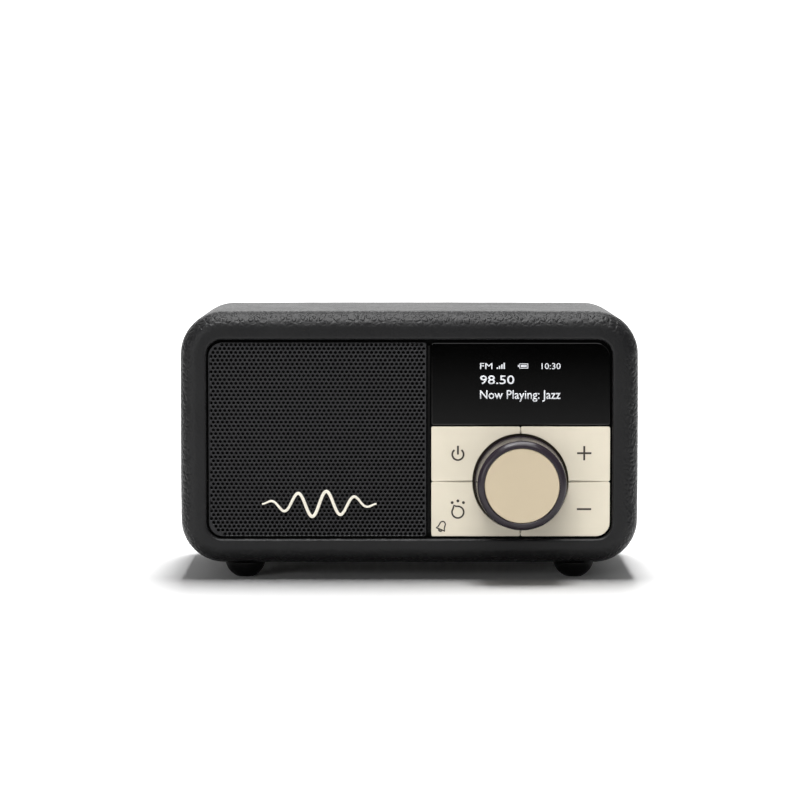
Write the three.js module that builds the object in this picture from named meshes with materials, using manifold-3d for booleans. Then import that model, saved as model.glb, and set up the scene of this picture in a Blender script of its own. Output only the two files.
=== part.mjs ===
// A small tabletop digital radio: a leathercloth-covered case on four rubber feet, with a perforated
// loudspeaker grille, a display window, four keys round a push-and-turn dial, and a telescopic aerial
// folded along the back. Every physical piece is its own mesh.
//
// Millimetres. +X is right seen from the front, +Y is towards the back, +Z is up. Inside the radio group
// y = 0 is the case's front plane. The group is moved along Y at the end, so that the origin lies on the
// supporting surface, under the middle of the whole object.

import * as THREE from 'three';
import { mergeVertices } from 'three/addons/utils/BufferGeometryUtils.js';
import Module from 'manifold-3d';

const wasm = await Module();
wasm.setup();

// ---------------------------------------------------------------- driving dimensions

const CASE_WIDTH = 150.4;
const CASE_HEIGHT = 83;
const CASE_DEPTH = 75;
const CORNER_RADIUS = 14; // case outline, seen from the front
const FRONT_ROUND = 6; // rounded front edge of the case
const REAR_ROUND = 3; // rounded rear edge of the case
const RIM_WIDTH = 8.8; // from the case's side to the front opening
const OPENING_DROP = 0.5; // the front opening sits this much below the case's middle
const LEATHER = 0.9; // leathercloth thickness
const GLUE_LINE = 0.1; // between the leathercloth and the shell
const WALL = 3; // shell wall
const RIM_THICKNESS = 3; // shell rim behind the leathercloth
const FIT = 0.1; // clearance between pieces that touch

const FOOT_HEIGHT = 5;
const FOOT_X = 54.3;
const FOOT_Y = 10.5; // foot centre, from the case's front and from its back
const FOOT_SPHERE = 6.74; // radius of the rubber dome
const FOOT_SPHERE_Z = 6.17; // height of the dome's centre
const STEM_RADIUS = 2;

const FACE = 1.2; // grille, window and key faces, behind the case's front plane
const BAFFLE_FRONT = 4.3;
const BAFFLE_BACK = 6.8;
const PANEL_EDGE = 65.7; // left and right ends of what shows in the opening
const PANEL_BOTTOM = 14.1;
const PANEL_TOP = 77.7;
const PANEL_CORNER = 4.6;
const GRILLE_RIGHT = 5.5;
const CONTROLS_LEFT = 7.2;
const KEYS_TOP = 50.15;
const WINDOW_BOTTOM = 50.65;

const DIAL_X = 36.4; // the keys meet in a cross on the dial's axis
const DIAL_Z = 32.1;
const DIAL_HOLE = 15.75; // round cut-out in the keys
const DIAL_HEIGHT = 15; // how far the dial stands out of the keys
const DIAL_FRONT = FACE - DIAL_HEIGHT;
const DIAL_PUSH = 0.5;
const KEY_GAP = 0.2;
const KEY_THICKNESS = 2;
const KEY_TRAVEL = 0.6;
const ICON_X = 20.5; // key symbols and switches, sideways from the dial's axis
const ICON_Z = 9.2; // and up or down from it
const BOARD_FRONT = 12; // front circuit board
const BOARD_THICKNESS = 1.6;

const SPEAKER_X = -31.5;
const SPEAKER_OPENING = 22.5; // radius of the hole in the baffle
const RADIATOR_Z = 42;

const MAIN_BOARD_Y = 62;
const SOCKET_Z = 36;
const USB_X = 22;
const JACK_X = 42;
const RESET_X = 54;
const REAR_SCREW_X = 64.8;
const REAR_SCREW_Z = 31.3; // up and down from the case's middle

const AERIAL_X = -54; // aerial pivot on the back
const AERIAL_Z = 74.5;
const PIN_OUT = 3.4; // pivot pin and aerial axis, behind the case's rear plane
const EAR_RADIUS = 3.2;
const TUBE_RADII = [2.8, 2.2, 1.6, 1.0]; // outside radius of each aerial section
const TUBE_WALL = 0.4;

const CASE_MIDDLE = FOOT_HEIGHT + CASE_HEIGHT / 2;
const PANEL_BACK = CASE_DEPTH - 1.5; // outer face of the rear panel
const PANEL_FRONT = PANEL_BACK - 2.5;
const PIN_Y = CASE_DEPTH + PIN_OUT;
const OBJECT_BACK = PIN_Y + EAR_RADIUS;

// ---------------------------------------------------------------- finishes

const finish = (color, roughness, metalness = 0) =>
  new THREE.MeshStandardMaterial({ color, roughness, metalness });

const LEATHERCLOTH = finish(0x303030, 0.55);
const BLACK_PLASTIC = finish(0x131313, 0.5);
const CREAM_PLASTIC = finish(0xe6ddc8, 0.35);
const CHAMPAGNE = finish(0xd2c3a8, 0.3, 0.4);
const DIAL_PLASTIC = finish(0x3d3638, 0.25);
const GRILLE_PAINT = finish(0x2d2d2f, 0.5, 0.5);
const BADGE_ENAMEL = finish(0xf0ead8, 0.35, 0.2);
const WINDOW_ACRYLIC = finish(0x050505, 0.06);
const RUBBER = finish(0x0c0c0c, 0.6);
const STEEL = finish(0xb8b8b8, 0.3, 1);
const CHROME = finish(0xd8d8d8, 0.12, 1);
const FERRITE = finish(0x2a2a2c, 0.8);
const PAPER_CONE = finish(0x1a1a1a, 0.9);
const COPPER = finish(0xb06a3a, 0.4, 1);
const BOARD_GREEN = finish(0x1f5a34, 0.5);
const FOAM = finish(0x202020, 0.95);
const CELL_WRAP = finish(0x2b5c9a, 0.4);
const WIRE_SLEEVE = finish(0x8c1f1f, 0.5);

// ---------------------------------------------------------------- shape tools

// A closed geometry as a manifold-3d solid. A surface that faces inwards is turned round.
function solid(geometry) {
  const bare = geometry.index ? geometry.toNonIndexed() : geometry.clone();
  bare.deleteAttribute('normal');
  bare.deleteAttribute('uv');
  const merged = mergeVertices(bare, 1e-4);
  const vertProperties = new Float32Array(merged.attributes.position.array);
  const corners = merged.index.array;
  const faces = [];
  for (let i = 0; i < corners.length; i += 3) {
    const [a, b, c] = [corners[i], corners[i + 1], corners[i + 2]];
    if (a !== b && b !== c && a !== c) faces.push(a, b, c);
  }
  const made = (triangles) =>
    new wasm.Manifold(
      new wasm.Mesh({ numProp: 3, vertProperties, triVerts: new Uint32Array(triangles) }),
    );
  const first = made(faces);
  return first.volume() < 0 ? made(faces.reverse()) : first;
}

// A manifold-3d solid as a three.js geometry.
function geometryOf(made) {
  const mesh = made.getMesh();
  const geometry = new THREE.BufferGeometry();
  geometry.setAttribute('position', new THREE.BufferAttribute(mesh.vertProperties, 3));
  geometry.setIndex(new THREE.BufferAttribute(mesh.triVerts, 1));
  geometry.computeVertexNormals();
  return geometry;
}

// Points on an arc, from one angle to another in degrees.
function arc(cx, cy, radius, from, to, steps) {
  return Array.from({ length: steps + 1 }, (_, k) => {
    const angle = THREE.MathUtils.degToRad(from + ((to - from) * k) / steps);
    return [cx + radius * Math.cos(angle), cy + radius * Math.sin(angle)];
  });
}

// A rectangle with a radius for each corner: bottom right, top right, top left, bottom left.
function rectangle(left, right, bottom, top, radii = [0, 0, 0, 0], steps = 6) {
  const [br, tr, tl, bl] = radii;
  const corner = (x, y, r, from) => (r > 0 ? arc(x, y, r, from, from + 90, steps) : [[x, y]]);
  return [
    ...corner(right - br, bottom + br, br, -90),
    ...corner(right - tr, top - tr, tr, 0),
    ...corner(left + tl, top - tl, tl, 90),
    ...corner(left + bl, bottom + bl, bl, 180),
  ];
}

// The case outline, drawn in by an inset and moved down by a drop. All insets share the corner centres.
function caseOutline(inset, drop = 0) {
  const x = CASE_WIDTH / 2 - inset;
  const z = CASE_HEIGHT / 2 - inset;
  const r = CORNER_RADIUS - inset;
  const middle = CASE_MIDDLE - drop;
  return rectangle(-x, x, middle - z, middle + z, [r, r, r, r], 6);
}

const shape = (points) => new THREE.Shape(points.map(([x, y]) => new THREE.Vector2(x, y)));

// An outline in X and Z, made solid from y0 to y1.
function slab(points, y0, y1) {
  const geometry = new THREE.ExtrudeGeometry(shape(points), { depth: y1 - y0, bevelEnabled: false });
  return solid(geometry.rotateX(Math.PI / 2).translate(0, y1, 0));
}

// An outline in X and Y, made solid from z0 to z1.
function tablet(points, z0, z1) {
  const geometry = new THREE.ExtrudeGeometry(shape(points), { depth: z1 - z0, bevelEnabled: false });
  return solid(geometry.translate(0, 0, z0));
}

const block = (x0, x1, y0, y1, z0, z1) => slab(rectangle(x0, x1, z0, z1), y0, y1);

// A [radius, y] profile turned about the Y axis, and the same moved to x, z.
function turned(profile, segments, x = 0, z = 0) {
  const points = profile.map(([r, y]) => new THREE.Vector2(r, y));
  return solid(new THREE.LatheGeometry(points, segments).translate(x, 0, z));
}

const cylinder = (radius, y0, y1, segments, x = 0, z = 0) =>
  turned([[0, y0], [radius, y0], [radius, y1], [0, y1]], segments, x, z);

const ring = (inner, outer, y0, y1, segments, x = 0, z = 0) =>
  turned([[inner, y0], [outer, y0], [outer, y1], [inner, y1], [inner, y0]], segments, x, z);

// The same turned about the X axis, with y read along X.
function turnedAlongX(profile, segments, y = 0) {
  const points = profile.map(([r, x]) => new THREE.Vector2(r, x));
  return solid(new THREE.LatheGeometry(points, segments).rotateZ(-Math.PI / 2).translate(0, y, 0));
}

// The same turned about the Z axis, with y read along Z.
function turnedAlongZ(profile, segments, x, y) {
  const points = profile.map(([r, z]) => new THREE.Vector2(r, z));
  return solid(new THREE.LatheGeometry(points, segments).rotateX(Math.PI / 2).translate(x, y, 0));
}

// A closed profile of [inset, y] points carried round the case outline. On the front rim the outlines sink
// step by step towards the opening.
function carriedRound(profile) {
  const drop = (inset, y) => (y < FRONT_ROUND ? (OPENING_DROP * inset) / RIM_WIDTH : 0);
  const rings = profile.map(([inset, y]) => caseOutline(inset, drop(inset, y)).map(([x, z]) => [x, y, z]));
  const around = rings[0].length;
  const positions = [];
  rings.forEach((here, i) => {
    const next = rings[(i + 1) % rings.length];
    for (let k = 0; k < around; k += 1) {
      const m = (k + 1) % around;
      positions.push(...here[k], ...here[m], ...next[m], ...here[k], ...next[m], ...next[k]);
    }
  });
  const geometry = new THREE.BufferGeometry();
  geometry.setAttribute('position', new THREE.Float32BufferAttribute(positions, 3));
  return solid(geometry);
}

// A round wire along a smooth path.
function wire(points, radius, steps) {
  const path = new THREE.CatmullRomCurve3(points.map((p) => new THREE.Vector3(...p)));
  const section = shape(arc(0, 0, radius, 0, 300, 5));
  return solid(new THREE.ExtrudeGeometry(section, { steps, extrudePath: path, bevelEnabled: false }));
}

// The outline of a strip of a given half width along points in a plane.
function stripOutline(points, halfWidth) {
  const side = (sign) =>
    points.map(([x, y], i) => {
      const [ax, ay] = points[Math.max(i - 1, 0)];
      const [bx, by] = points[Math.min(i + 1, points.length - 1)];
      const length = Math.hypot(bx - ax, by - ay);
      const reach = (sign * halfWidth(i / (points.length - 1))) / length;
      return [x - (by - ay) * reach, y + (bx - ax) * reach];
    });
  return [...side(1), ...side(-1).reverse()];
}

const radio = new THREE.Group();

function place(parent, x, y, z) {
  const group = new THREE.Group();
  group.position.set(x, y, z);
  parent.add(group);
  return group;
}

function add(parent, name, made, material) {
  const mesh = new THREE.Mesh(geometryOf(made), material);
  mesh.name = name;
  parent.add(mesh);
  return mesh;
}

// ---------------------------------------------------------------- case

const SKIN = LEATHER + GLUE_LINE;
const SHELL_INSIDE = SKIN + WALL; // inset of the shell's inner wall
const RIM_BACK = SKIN + RIM_THICKNESS;
const LEATHER_INSIDE = RIM_WIDTH - LEATHER;
const REAR_LIP = 5; // how far the leathercloth covers the rear edge

const cornerPosts = [-1, 1].flatMap((sx) => [-1, 1].map((sz) => [sx * REAR_SCREW_X, sz * REAR_SCREW_Z]));
const feet = [
  ['foot_front_left', -FOOT_X, FOOT_Y],
  ['foot_front_right', FOOT_X, FOOT_Y],
  ['foot_rear_left', -FOOT_X, CASE_DEPTH - FOOT_Y],
  ['foot_rear_right', FOOT_X, CASE_DEPTH - FOOT_Y],
];

// Holes for the stems of the feet, through the leathercloth and the shell's floor.
const stemHole = ([, x, y]) =>
  turnedAlongZ([[0, 4], [STEM_RADIUS + 0.3, 4], [STEM_RADIUS + 0.3, 11], [0, 11]], 12, x, y);

function makeShell() {
  const post = (x, z) => cylinder(5, CASE_DEPTH - 24, PANEL_FRONT - FIT, 16, x, CASE_MIDDLE + z);
  const pilotHole = (x, z) => cylinder(1.55, CASE_DEPTH - 20, CASE_DEPTH, 12, x, CASE_MIDDLE + z);
  let shell = carriedRound([
    [LEATHER_INSIDE - GLUE_LINE, SKIN],
    ...arc(FRONT_ROUND, FRONT_ROUND, FRONT_ROUND - SKIN, -90, -180, 4),
    ...arc(REAR_ROUND, CASE_DEPTH - REAR_ROUND, REAR_ROUND - SKIN, 180, 90, 2),
    [SHELL_INSIDE, CASE_DEPTH - SKIN],
    [SHELL_INSIDE, RIM_BACK],
    [LEATHER_INSIDE - GLUE_LINE, RIM_BACK],
  ]);
  for (const [x, z] of cornerPosts) shell = shell.add(post(x, z));
  for (const [x, z] of cornerPosts) shell = shell.subtract(pilotHole(x, z));
  for (const foot of feet) shell = shell.subtract(stemHole(foot));
  return shell;
}

function makeLeather() {
  const lip = 1; // rounded edge of the front opening
  const turnIn = 0.8; // rounded edge of the rear opening
  let cover = carriedRound([
    [RIM_WIDTH, 3],
    ...arc(RIM_WIDTH - lip, lip, lip, 0, -90, 3),
    ...arc(FRONT_ROUND, FRONT_ROUND, FRONT_ROUND, -90, -180, 6),
    ...arc(REAR_ROUND, CASE_DEPTH - REAR_ROUND, REAR_ROUND, 180, 90, 3),
    ...arc(REAR_LIP - turnIn, CASE_DEPTH - turnIn, turnIn, 90, 0, 2),
    [REAR_LIP, CASE_DEPTH - 2.5],
    [REAR_LIP - LEATHER, CASE_DEPTH - 2.5],
    [REAR_LIP - LEATHER, CASE_DEPTH - LEATHER],
    ...arc(REAR_ROUND, CASE_DEPTH - REAR_ROUND, REAR_ROUND - LEATHER, 90, 180, 2),
    ...arc(FRONT_ROUND, FRONT_ROUND, FRONT_ROUND - LEATHER, -180, -90, 4),
    [LEATHER_INSIDE, LEATHER],
    [LEATHER_INSIDE, 3],
  ]);
  for (const foot of feet) cover = cover.subtract(stemHole(foot));
  return cover;
}

add(radio, 'case_shell', makeShell(), BLACK_PLASTIC);
add(radio, 'leathercloth_cover', makeLeather(), LEATHERCLOTH);

// A rubber dome with a flat sole, and a barbed stem pressed through the case floor.
const FLOOR_TOP = FOOT_HEIGHT + SHELL_INSIDE;
const domeRadius = (z) => Math.sqrt(FOOT_SPHERE ** 2 - (z - FOOT_SPHERE_Z) ** 2);
const footProfile = [
  [0, 0],
  ...[0, 0.45, 1.1, 2, 3.2, FOOT_HEIGHT - 0.02].map((z) => [domeRadius(z), z]),
  [STEM_RADIUS, FOOT_HEIGHT - 0.02],
  [STEM_RADIUS, FLOOR_TOP + 0.2],
  [STEM_RADIUS + 0.9, FLOOR_TOP + 0.2],
  [STEM_RADIUS - 0.6, FLOOR_TOP + 1.5],
  [0, FLOOR_TOP + 1.5],
];
for (const [name, x, y] of feet) {
  const foot = add(radio, name, turnedAlongZ(footProfile, 14, 0, 0), RUBBER);
  foot.position.set(x, y, 0);
}

// ---------------------------------------------------------------- rear panel

const REAR_PANEL_INSET = REAR_LIP + 0.4;
const SLOT_PITCH = 5;
const SLOT_HEIGHT = 2.4;
const VENT_RADIUS = 20;
const USB_WIDTH = 9;
const USB_HEIGHT = 3.4;
const JACK_BARREL = 3.2;
const LEDGE_X = 44;

function makeRearPanel() {
  const through = [PANEL_FRONT - 1, PANEL_BACK + 1];
  let panel = slab(caseOutline(REAR_PANEL_INSET), PANEL_FRONT, PANEL_BACK);
  for (let k = -3; k <= 3; k += 1) {
    const z = RADIATOR_Z + k * SLOT_PITCH;
    const half = Math.sqrt(VENT_RADIUS ** 2 - (k * SLOT_PITCH) ** 2);
    const r = SLOT_HEIGHT / 2;
    const slot = rectangle(SPEAKER_X - half, SPEAKER_X + half, z - r, z + r, [r, r, r, r], 3);
    panel = panel.subtract(slab(slot, ...through));
  }
  const usb = [USB_WIDTH / 2 + 0.4, USB_HEIGHT / 2 + 0.4];
  const usbHole = rectangle(
    USB_X - usb[0], USB_X + usb[0], SOCKET_Z - usb[1], SOCKET_Z + usb[1], Array(4).fill(usb[1]), 4);
  panel = panel.subtract(slab(usbHole, ...through));
  panel = panel.subtract(cylinder(JACK_BARREL + 0.4, ...through, 20, JACK_X, SOCKET_Z));
  panel = panel.subtract(cylinder(0.8, ...through, 10, RESET_X, SOCKET_Z));
  panel = panel.subtract(cylinder(2.6, ...through, 16, AERIAL_X, AERIAL_Z));
  for (const [x, z] of cornerPosts) {
    panel = panel.subtract(cylinder(1.7, ...through, 12, x, CASE_MIDDLE + z));
  }
  const ledgeTop = AERIAL_Z - TUBE_RADII[0] - 0.3;
  const ledge = block(LEDGE_X, LEDGE_X + 6, PANEL_BACK - 0.5, PIN_Y + 2, ledgeTop - 2, ledgeTop);
  return panel.add(ledge);
}

add(radio, 'rear_panel', makeRearPanel(), BLACK_PLASTIC);

// Pan-head screws with a cross recess, from the panel into the corner posts.
function makeRearScrew() {
  const head = PANEL_BACK + 0.02;
  const body = turned(
    [[0, CASE_DEPTH - 16], [0.8, CASE_DEPTH - 16], [1.3, CASE_DEPTH - 14.5], [1.3, head], [2.6, head],
      [2.5, head + 0.9], [1.7, head + 1.4], [0, head + 1.4]], 12);
  const slot = block(-1.5, 1.5, head + 0.5, head + 2, -0.3, 0.3);
  const crossSlot = block(-0.3, 0.3, head + 0.5, head + 2, -1.5, 1.5);
  return body.subtract(slot).subtract(crossSlot);
}
cornerPosts.forEach(([x, z], k) => {
  const screw = add(radio, `rear_screw_${k + 1}`, makeRearScrew(), STEEL);
  screw.position.set(x, 0, CASE_MIDDLE + z);
});

// ---------------------------------------------------------------- front baffle and what it carries

const grilleOutline = (inset) =>
  rectangle(-PANEL_EDGE + inset, GRILLE_RIGHT - inset, PANEL_BOTTOM + inset, PANEL_TOP - inset,
    [0.6, 0.6, PANEL_CORNER - inset, PANEL_CORNER - inset]);
const windowOutline = (inset) =>
  rectangle(CONTROLS_LEFT + inset, PANEL_EDGE - inset, WINDOW_BOTTOM + inset, PANEL_TOP - inset,
    [0.6, PANEL_CORNER - inset, 0.6, 0.6]);
const icons = [
  ['power', -1, 1],
  ['source', -1, -1],
  ['volume_up', 1, 1],
  ['volume_down', 1, -1],
];
const iconPlace = ([, sx, sz]) => [DIAL_X + sx * ICON_X, DIAL_Z + sz * ICON_Z];

const SEAT = FACE + 1.7; // where the grille's flange and the window rest on the baffle
const SEAT_WIDTH = 2;
const DISPLAY_X = 36.1;
const DISPLAY_Z = 65.1;
const DISPLAY_HALF = [17.25, 9.5];

function makeBaffle() {
  const through = [0, BAFFLE_BACK + 1];
  const seatRing = (outline) =>
    slab(outline(0), SEAT + FIT, BAFFLE_FRONT + 0.5).subtract(slab(outline(SEAT_WIDTH), 0, BAFFLE_BACK));
  const [hx, hz] = DISPLAY_HALF.map((half) => half + 0.5);
  const middle = (GRILLE_RIGHT + CONTROLS_LEFT) / 2;
  let baffle = slab(caseOutline(SHELL_INSIDE + 0.4), BAFFLE_FRONT, BAFFLE_BACK)
    .add(seatRing(grilleOutline))
    .add(seatRing(windowOutline))
    .add(block(middle - 0.4, middle + 0.4, FACE + 0.7, BAFFLE_FRONT + 0.5, PANEL_BOTTOM + 1, PANEL_TOP - 1))
    .subtract(cylinder(SPEAKER_OPENING, ...through, 40, SPEAKER_X, CASE_MIDDLE))
    .subtract(block(DISPLAY_X - hx, DISPLAY_X + hx, ...through, DISPLAY_Z - hz, DISPLAY_Z + hz))
    .subtract(cylinder(5, ...through, 20, DIAL_X, DIAL_Z));
  for (const icon of icons) {
    const [x, z] = iconPlace(icon);
    baffle = baffle.subtract(cylinder(2.6, ...through, 12, x, z));
  }
  return baffle;
}

add(radio, 'front_baffle', makeBaffle(), BLACK_PLASTIC);

// Pressed sheet-metal grille: a 0.8 mm face with a turned-back flange.
const GRILLE_SHEET = 0.8;
const grille = slab(grilleOutline(0), FACE, SEAT)
  .subtract(slab(grilleOutline(GRILLE_SHEET), FACE + GRILLE_SHEET, SEAT + 1));
add(radio, 'speaker_grille', grille, GRILLE_PAINT);

// Plain emblem: a swelling and fading wave line, cut from sheet.
const BADGE_X = -29.5;
const BADGE_Z = 24.8;
const BADGE_LENGTH = 38;
const BADGE_HEIGHT = 4.3;
const BADGE_WAVES = 4;
const badgeLine = Array.from({ length: 65 }, (_, k) => {
  const t = k / 64;
  const swell = Math.sin(Math.PI * t);
  return [(t - 0.5) * BADGE_LENGTH, BADGE_HEIGHT * swell * Math.sin(2 * Math.PI * BADGE_WAVES * t)];
});
const badgeOutline = stripOutline(badgeLine, (t) => 0.28 + 0.24 * Math.sin(Math.PI * t));
const badge = slab(badgeOutline, FACE - 0.8, FACE - 0.02);
add(place(radio, BADGE_X, 0, BADGE_Z), 'grille_badge', badge, BADGE_ENAMEL);

add(radio, 'display_window', slab(windowOutline(0), FACE, SEAT), WINDOW_ACRYLIC);

const display = block(-DISPLAY_HALF[0], DISPLAY_HALF[0], SEAT + 0.4, 6, -DISPLAY_HALF[1], DISPLAY_HALF[1])
  .add(block(-15, 15, 5.5, BOARD_FRONT - FIT, -7.5, 7.5));
add(place(radio, DISPLAY_X, 0, DISPLAY_Z), 'display_module', display, WINDOW_ACRYLIC);

// ---------------------------------------------------------------- keys

const SWITCH_TOP = 7.6; // front of the switch buttons on the board
const STEM_END = SWITCH_TOP - KEY_TRAVEL - FIT;

// One quarter of the key field, with the dial's round cut-out and a stem behind its symbol.
function makeKey([name, sx, sz]) {
  const [inner, outer] = [DIAL_X + (sx * KEY_GAP) / 2, sx < 0 ? CONTROLS_LEFT : PANEL_EDGE];
  const [near, far] = [DIAL_Z + (sz * KEY_GAP) / 2, sz < 0 ? PANEL_BOTTOM : KEYS_TOP];
  const bottomRight = name === 'volume_down' ? PANEL_CORNER : 0.3;
  const outline = rectangle(Math.min(inner, outer), Math.max(inner, outer), Math.min(near, far),
    Math.max(near, far), [bottomRight, 0.3, 0.3, 0.3], name === 'volume_down' ? 6 : 2);
  const [x, z] = iconPlace([name, sx, sz]);
  return slab(outline, FACE, FACE + KEY_THICKNESS)
    .subtract(cylinder(DIAL_HOLE, 0, 5, 48, DIAL_X, DIAL_Z))
    .add(cylinder(2, FACE + KEY_THICKNESS - 0.5, STEM_END, 12, x, z));
}

for (const icon of icons) {
  add(radio, `key_${icon[0]}`, makeKey(icon), CREAM_PLASTIC);
}

// A cream backing behind the slits between the keys: a ring with four arms.
function makeKeyBacking() {
  const [y0, y1] = [FACE + KEY_THICKNESS + KEY_TRAVEL + FIT, BAFFLE_FRONT - FIT / 2];
  const armEnd = 1.4; // the arms stop short of the key field's edge
  const across = block(CONTROLS_LEFT + armEnd - DIAL_X, PANEL_EDGE - armEnd - DIAL_X, y0, y1, -1.4, 1.4);
  const upright = block(-1.4, 1.4, y0, y1, PANEL_BOTTOM + armEnd - DIAL_Z, KEYS_TOP - armEnd - DIAL_Z);
  return across
    .add(upright)
    .subtract(cylinder(DIAL_HOLE, 0, 6, 40))
    .add(ring(DIAL_HOLE - 1.2, DIAL_HOLE + 1.9, y0, y1, 40));
}
add(place(radio, DIAL_X, 0, DIAL_Z), 'key_backing', makeKeyBacking(), CREAM_PLASTIC);

for (const icon of icons) {
  const [x, z] = iconPlace(icon);
  const body = block(-3, 3, SWITCH_TOP + 0.9, BOARD_FRONT - FIT, -3, 3);
  const button = cylinder(1.7, SWITCH_TOP, SWITCH_TOP + 1.5, 12);
  add(place(radio, x, 0, z), `tact_switch_${icon[0]}`, body.add(button), STEEL);
}

// ---------------------------------------------------------------- dial

const dial = place(radio, DIAL_X, 0, DIAL_Z);
const CAP_RADIUS = 12.1;
const SHAFT_RADIUS = 3;
const SHAFT_FRONT = DIAL_FRONT + 4.9;
const SHAFT_BACK = 10.35;

// Hollow knob with a hub: a slightly tapered skirt, a rounded shoulder and a pocket for the cap.
const knobProfile = [
  [0, SHAFT_FRONT - FIT],
  [SHAFT_RADIUS + 0.15, SHAFT_FRONT - FIT],
  [SHAFT_RADIUS + 0.15, 2],
  [5.2, 2],
  [5.2, DIAL_FRONT + 3.8],
  [13.2, DIAL_FRONT + 3.8],
  [13.7, FACE + 1.2],
  [15.1, FACE + 1.2],
  ...arc(12.4, DIAL_FRONT + 2.1, 2.1, 0, -90, 4),
  [CAP_RADIUS + 0.15, DIAL_FRONT + 1.1],
  [0, DIAL_FRONT + 1.1],
];
add(dial, 'knob_body', turned(knobProfile, 36), DIAL_PLASTIC);

const capProfile = [
  [0, DIAL_FRONT + 0.2],
  [CAP_RADIUS - 0.3, DIAL_FRONT + 0.2],
  [CAP_RADIUS, DIAL_FRONT + 0.45],
  [CAP_RADIUS, DIAL_FRONT + 1.05],
  [0, DIAL_FRONT + 1.05],
];
add(dial, 'knob_cap', turned(capProfile, 36), CHAMPAGNE);

const shaft = cylinder(SHAFT_RADIUS, SHAFT_FRONT, SHAFT_BACK, 20)
  .subtract(block(-4, 4, SHAFT_FRONT - 1, SHAFT_FRONT + 7, 1.9, 4));
add(dial, 'encoder_shaft', shaft, STEEL);

const plunger = cylinder(2.7, SHAFT_BACK + 0.15, SHAFT_BACK + 0.65, 16);
add(dial, 'encoder_plunger', plunger, BLACK_PLASTIC);

// Rotary encoder with a bush, bored for the shaft and for the plunger's travel.
const encoder = block(-6.25, 6.25, 7, BOARD_FRONT - FIT, -6.25, 6.25)
  .add(cylinder(4.4, 4.6, 8, 24))
  .subtract(cylinder(SHAFT_RADIUS + 0.2, 4, SHAFT_BACK + 0.65 + DIAL_PUSH + 0.1, 20));
add(dial, 'encoder_body', encoder, BLACK_PLASTIC);

// ---------------------------------------------------------------- loudspeaker

const speaker = place(radio, SPEAKER_X, 0, CASE_MIDDLE);
const TURN = 20; // facets round the loudspeaker's parts
const FRAME_FRONT = 7.8;

add(speaker, 'speaker_gasket', ring(22.8, 26.5, BAFFLE_BACK + FIT, FRAME_FRONT - FIT, TURN), FOAM);

// Pressed steel basket: a flange, a tapered wall with four windows and a seat for the magnet.
function makeBasket() {
  const wall = turned(
    [[22.3, FRAME_FRONT], [27, FRAME_FRONT], [27, 9], [25.2, 9], [15.2, 22.2], [15.2, 23.8], [9, 23.8],
      [9, 22.6], [13.6, 22.6], [23.4, 9.2], [22.3, 9], [22.3, FRAME_FRONT]], TURN);
  return wall.subtract(block(-30, 30, 12, 19.5, -6, 6)).subtract(block(-6, 6, 12, 19.5, -30, 30));
}
add(speaker, 'speaker_frame', makeBasket(), STEEL);

// A half-round roll of a given mid radius, seen in section.
const roll = (middle, y, sign, turns) =>
  turned([
    ...arc(middle, y, 2.1, 180, 180 + sign * 180, 5),
    ...arc(middle, y, 1.7, 180 + sign * 180, 180, 5),
    [middle - 2.1, y],
  ], turns);
add(speaker, 'speaker_surround', roll(19.9, 8.5, 1, TURN), RUBBER);

const cone = turned([[17.4, 8.7], [17.4, 9.2], [6.6, 16.9], [6.6, 16.4], [17.4, 8.7]], TURN);
add(speaker, 'speaker_cone', cone, PAPER_CONE);

const dustCap = turned(
  [[0, 13.2], [3.2, 13.6], [5.6, 14.6], [7.2, 15.6], [6.7, 15.6], [5.4, 14.9], [3.1, 14], [0, 13.6]], TURN);
add(speaker, 'speaker_dust_cap', dustCap, PAPER_CONE);

add(speaker, 'voice_coil', ring(6.5, 7, 17.1, 30, TURN), COPPER);

// Corrugated disc that centres the coil.
const ripples = Array.from({ length: 9 }, (_, k) => [7.3 + k * 0.95, k % 2 ? 19.1 : 20.1]);
const spider = turned([
  ...ripples,
  ...ripples.map(([r, y]) => [r, y + 0.4]).reverse(),
  ripples[0],
], TURN);
add(speaker, 'speaker_spider', spider, FOAM);

add(speaker, 'speaker_top_plate', ring(7.6, 14.5, 24, 26.4, TURN), STEEL);
add(speaker, 'speaker_magnet', ring(9.5, 15.5, 26.5, 31.5, TURN), FERRITE);
const yoke = turned([[0, 24.2], [6, 24.2], [6, 31.6], [14.5, 31.6], [14.5, 33.6], [0, 33.6]], TURN);
add(speaker, 'speaker_yoke', yoke, STEEL);

// ---------------------------------------------------------------- passive bass radiator

const radiator = place(radio, SPEAKER_X, 0, RADIATOR_Z);
const RADIATOR_Y = PANEL_FRONT - 4;
add(radiator, 'radiator_frame', ring(20.6, 23.5, PANEL_FRONT - 5, PANEL_FRONT - FIT, TURN), BLACK_PLASTIC);
add(radiator, 'radiator_surround', roll(18.1, RADIATOR_Y, 1, TURN), RUBBER);
const plateProfile = [
  [0, RADIATOR_Y - 1],
  [12, RADIATOR_Y - 1],
  [15.7, RADIATOR_Y - 0.2],
  [15.7, RADIATOR_Y + 0.8],
  [0, RADIATOR_Y + 0.8],
];
add(radiator, 'radiator_plate', turned(plateProfile, TURN), PAPER_CONE);

// ---------------------------------------------------------------- boards, sockets, battery and wiring

const BOARD_BACK = BOARD_FRONT + BOARD_THICKNESS;
add(radio, 'front_board', block(8, 65, BOARD_FRONT, BOARD_BACK, 14.5, 78), BOARD_GREEN);
add(radio, 'main_board', block(2, 60, MAIN_BOARD_Y, MAIN_BOARD_Y + BOARD_THICKNESS, 31, 70), BOARD_GREEN);
const SHIELD_BACK = MAIN_BOARD_Y - FIT;
add(radio, 'tuner_shield', block(32, 56, SHIELD_BACK - 2.6, SHIELD_BACK, 47, 65), STEEL);

const SOCKET_FRONT = MAIN_BOARD_Y + BOARD_THICKNESS + FIT;

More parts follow.
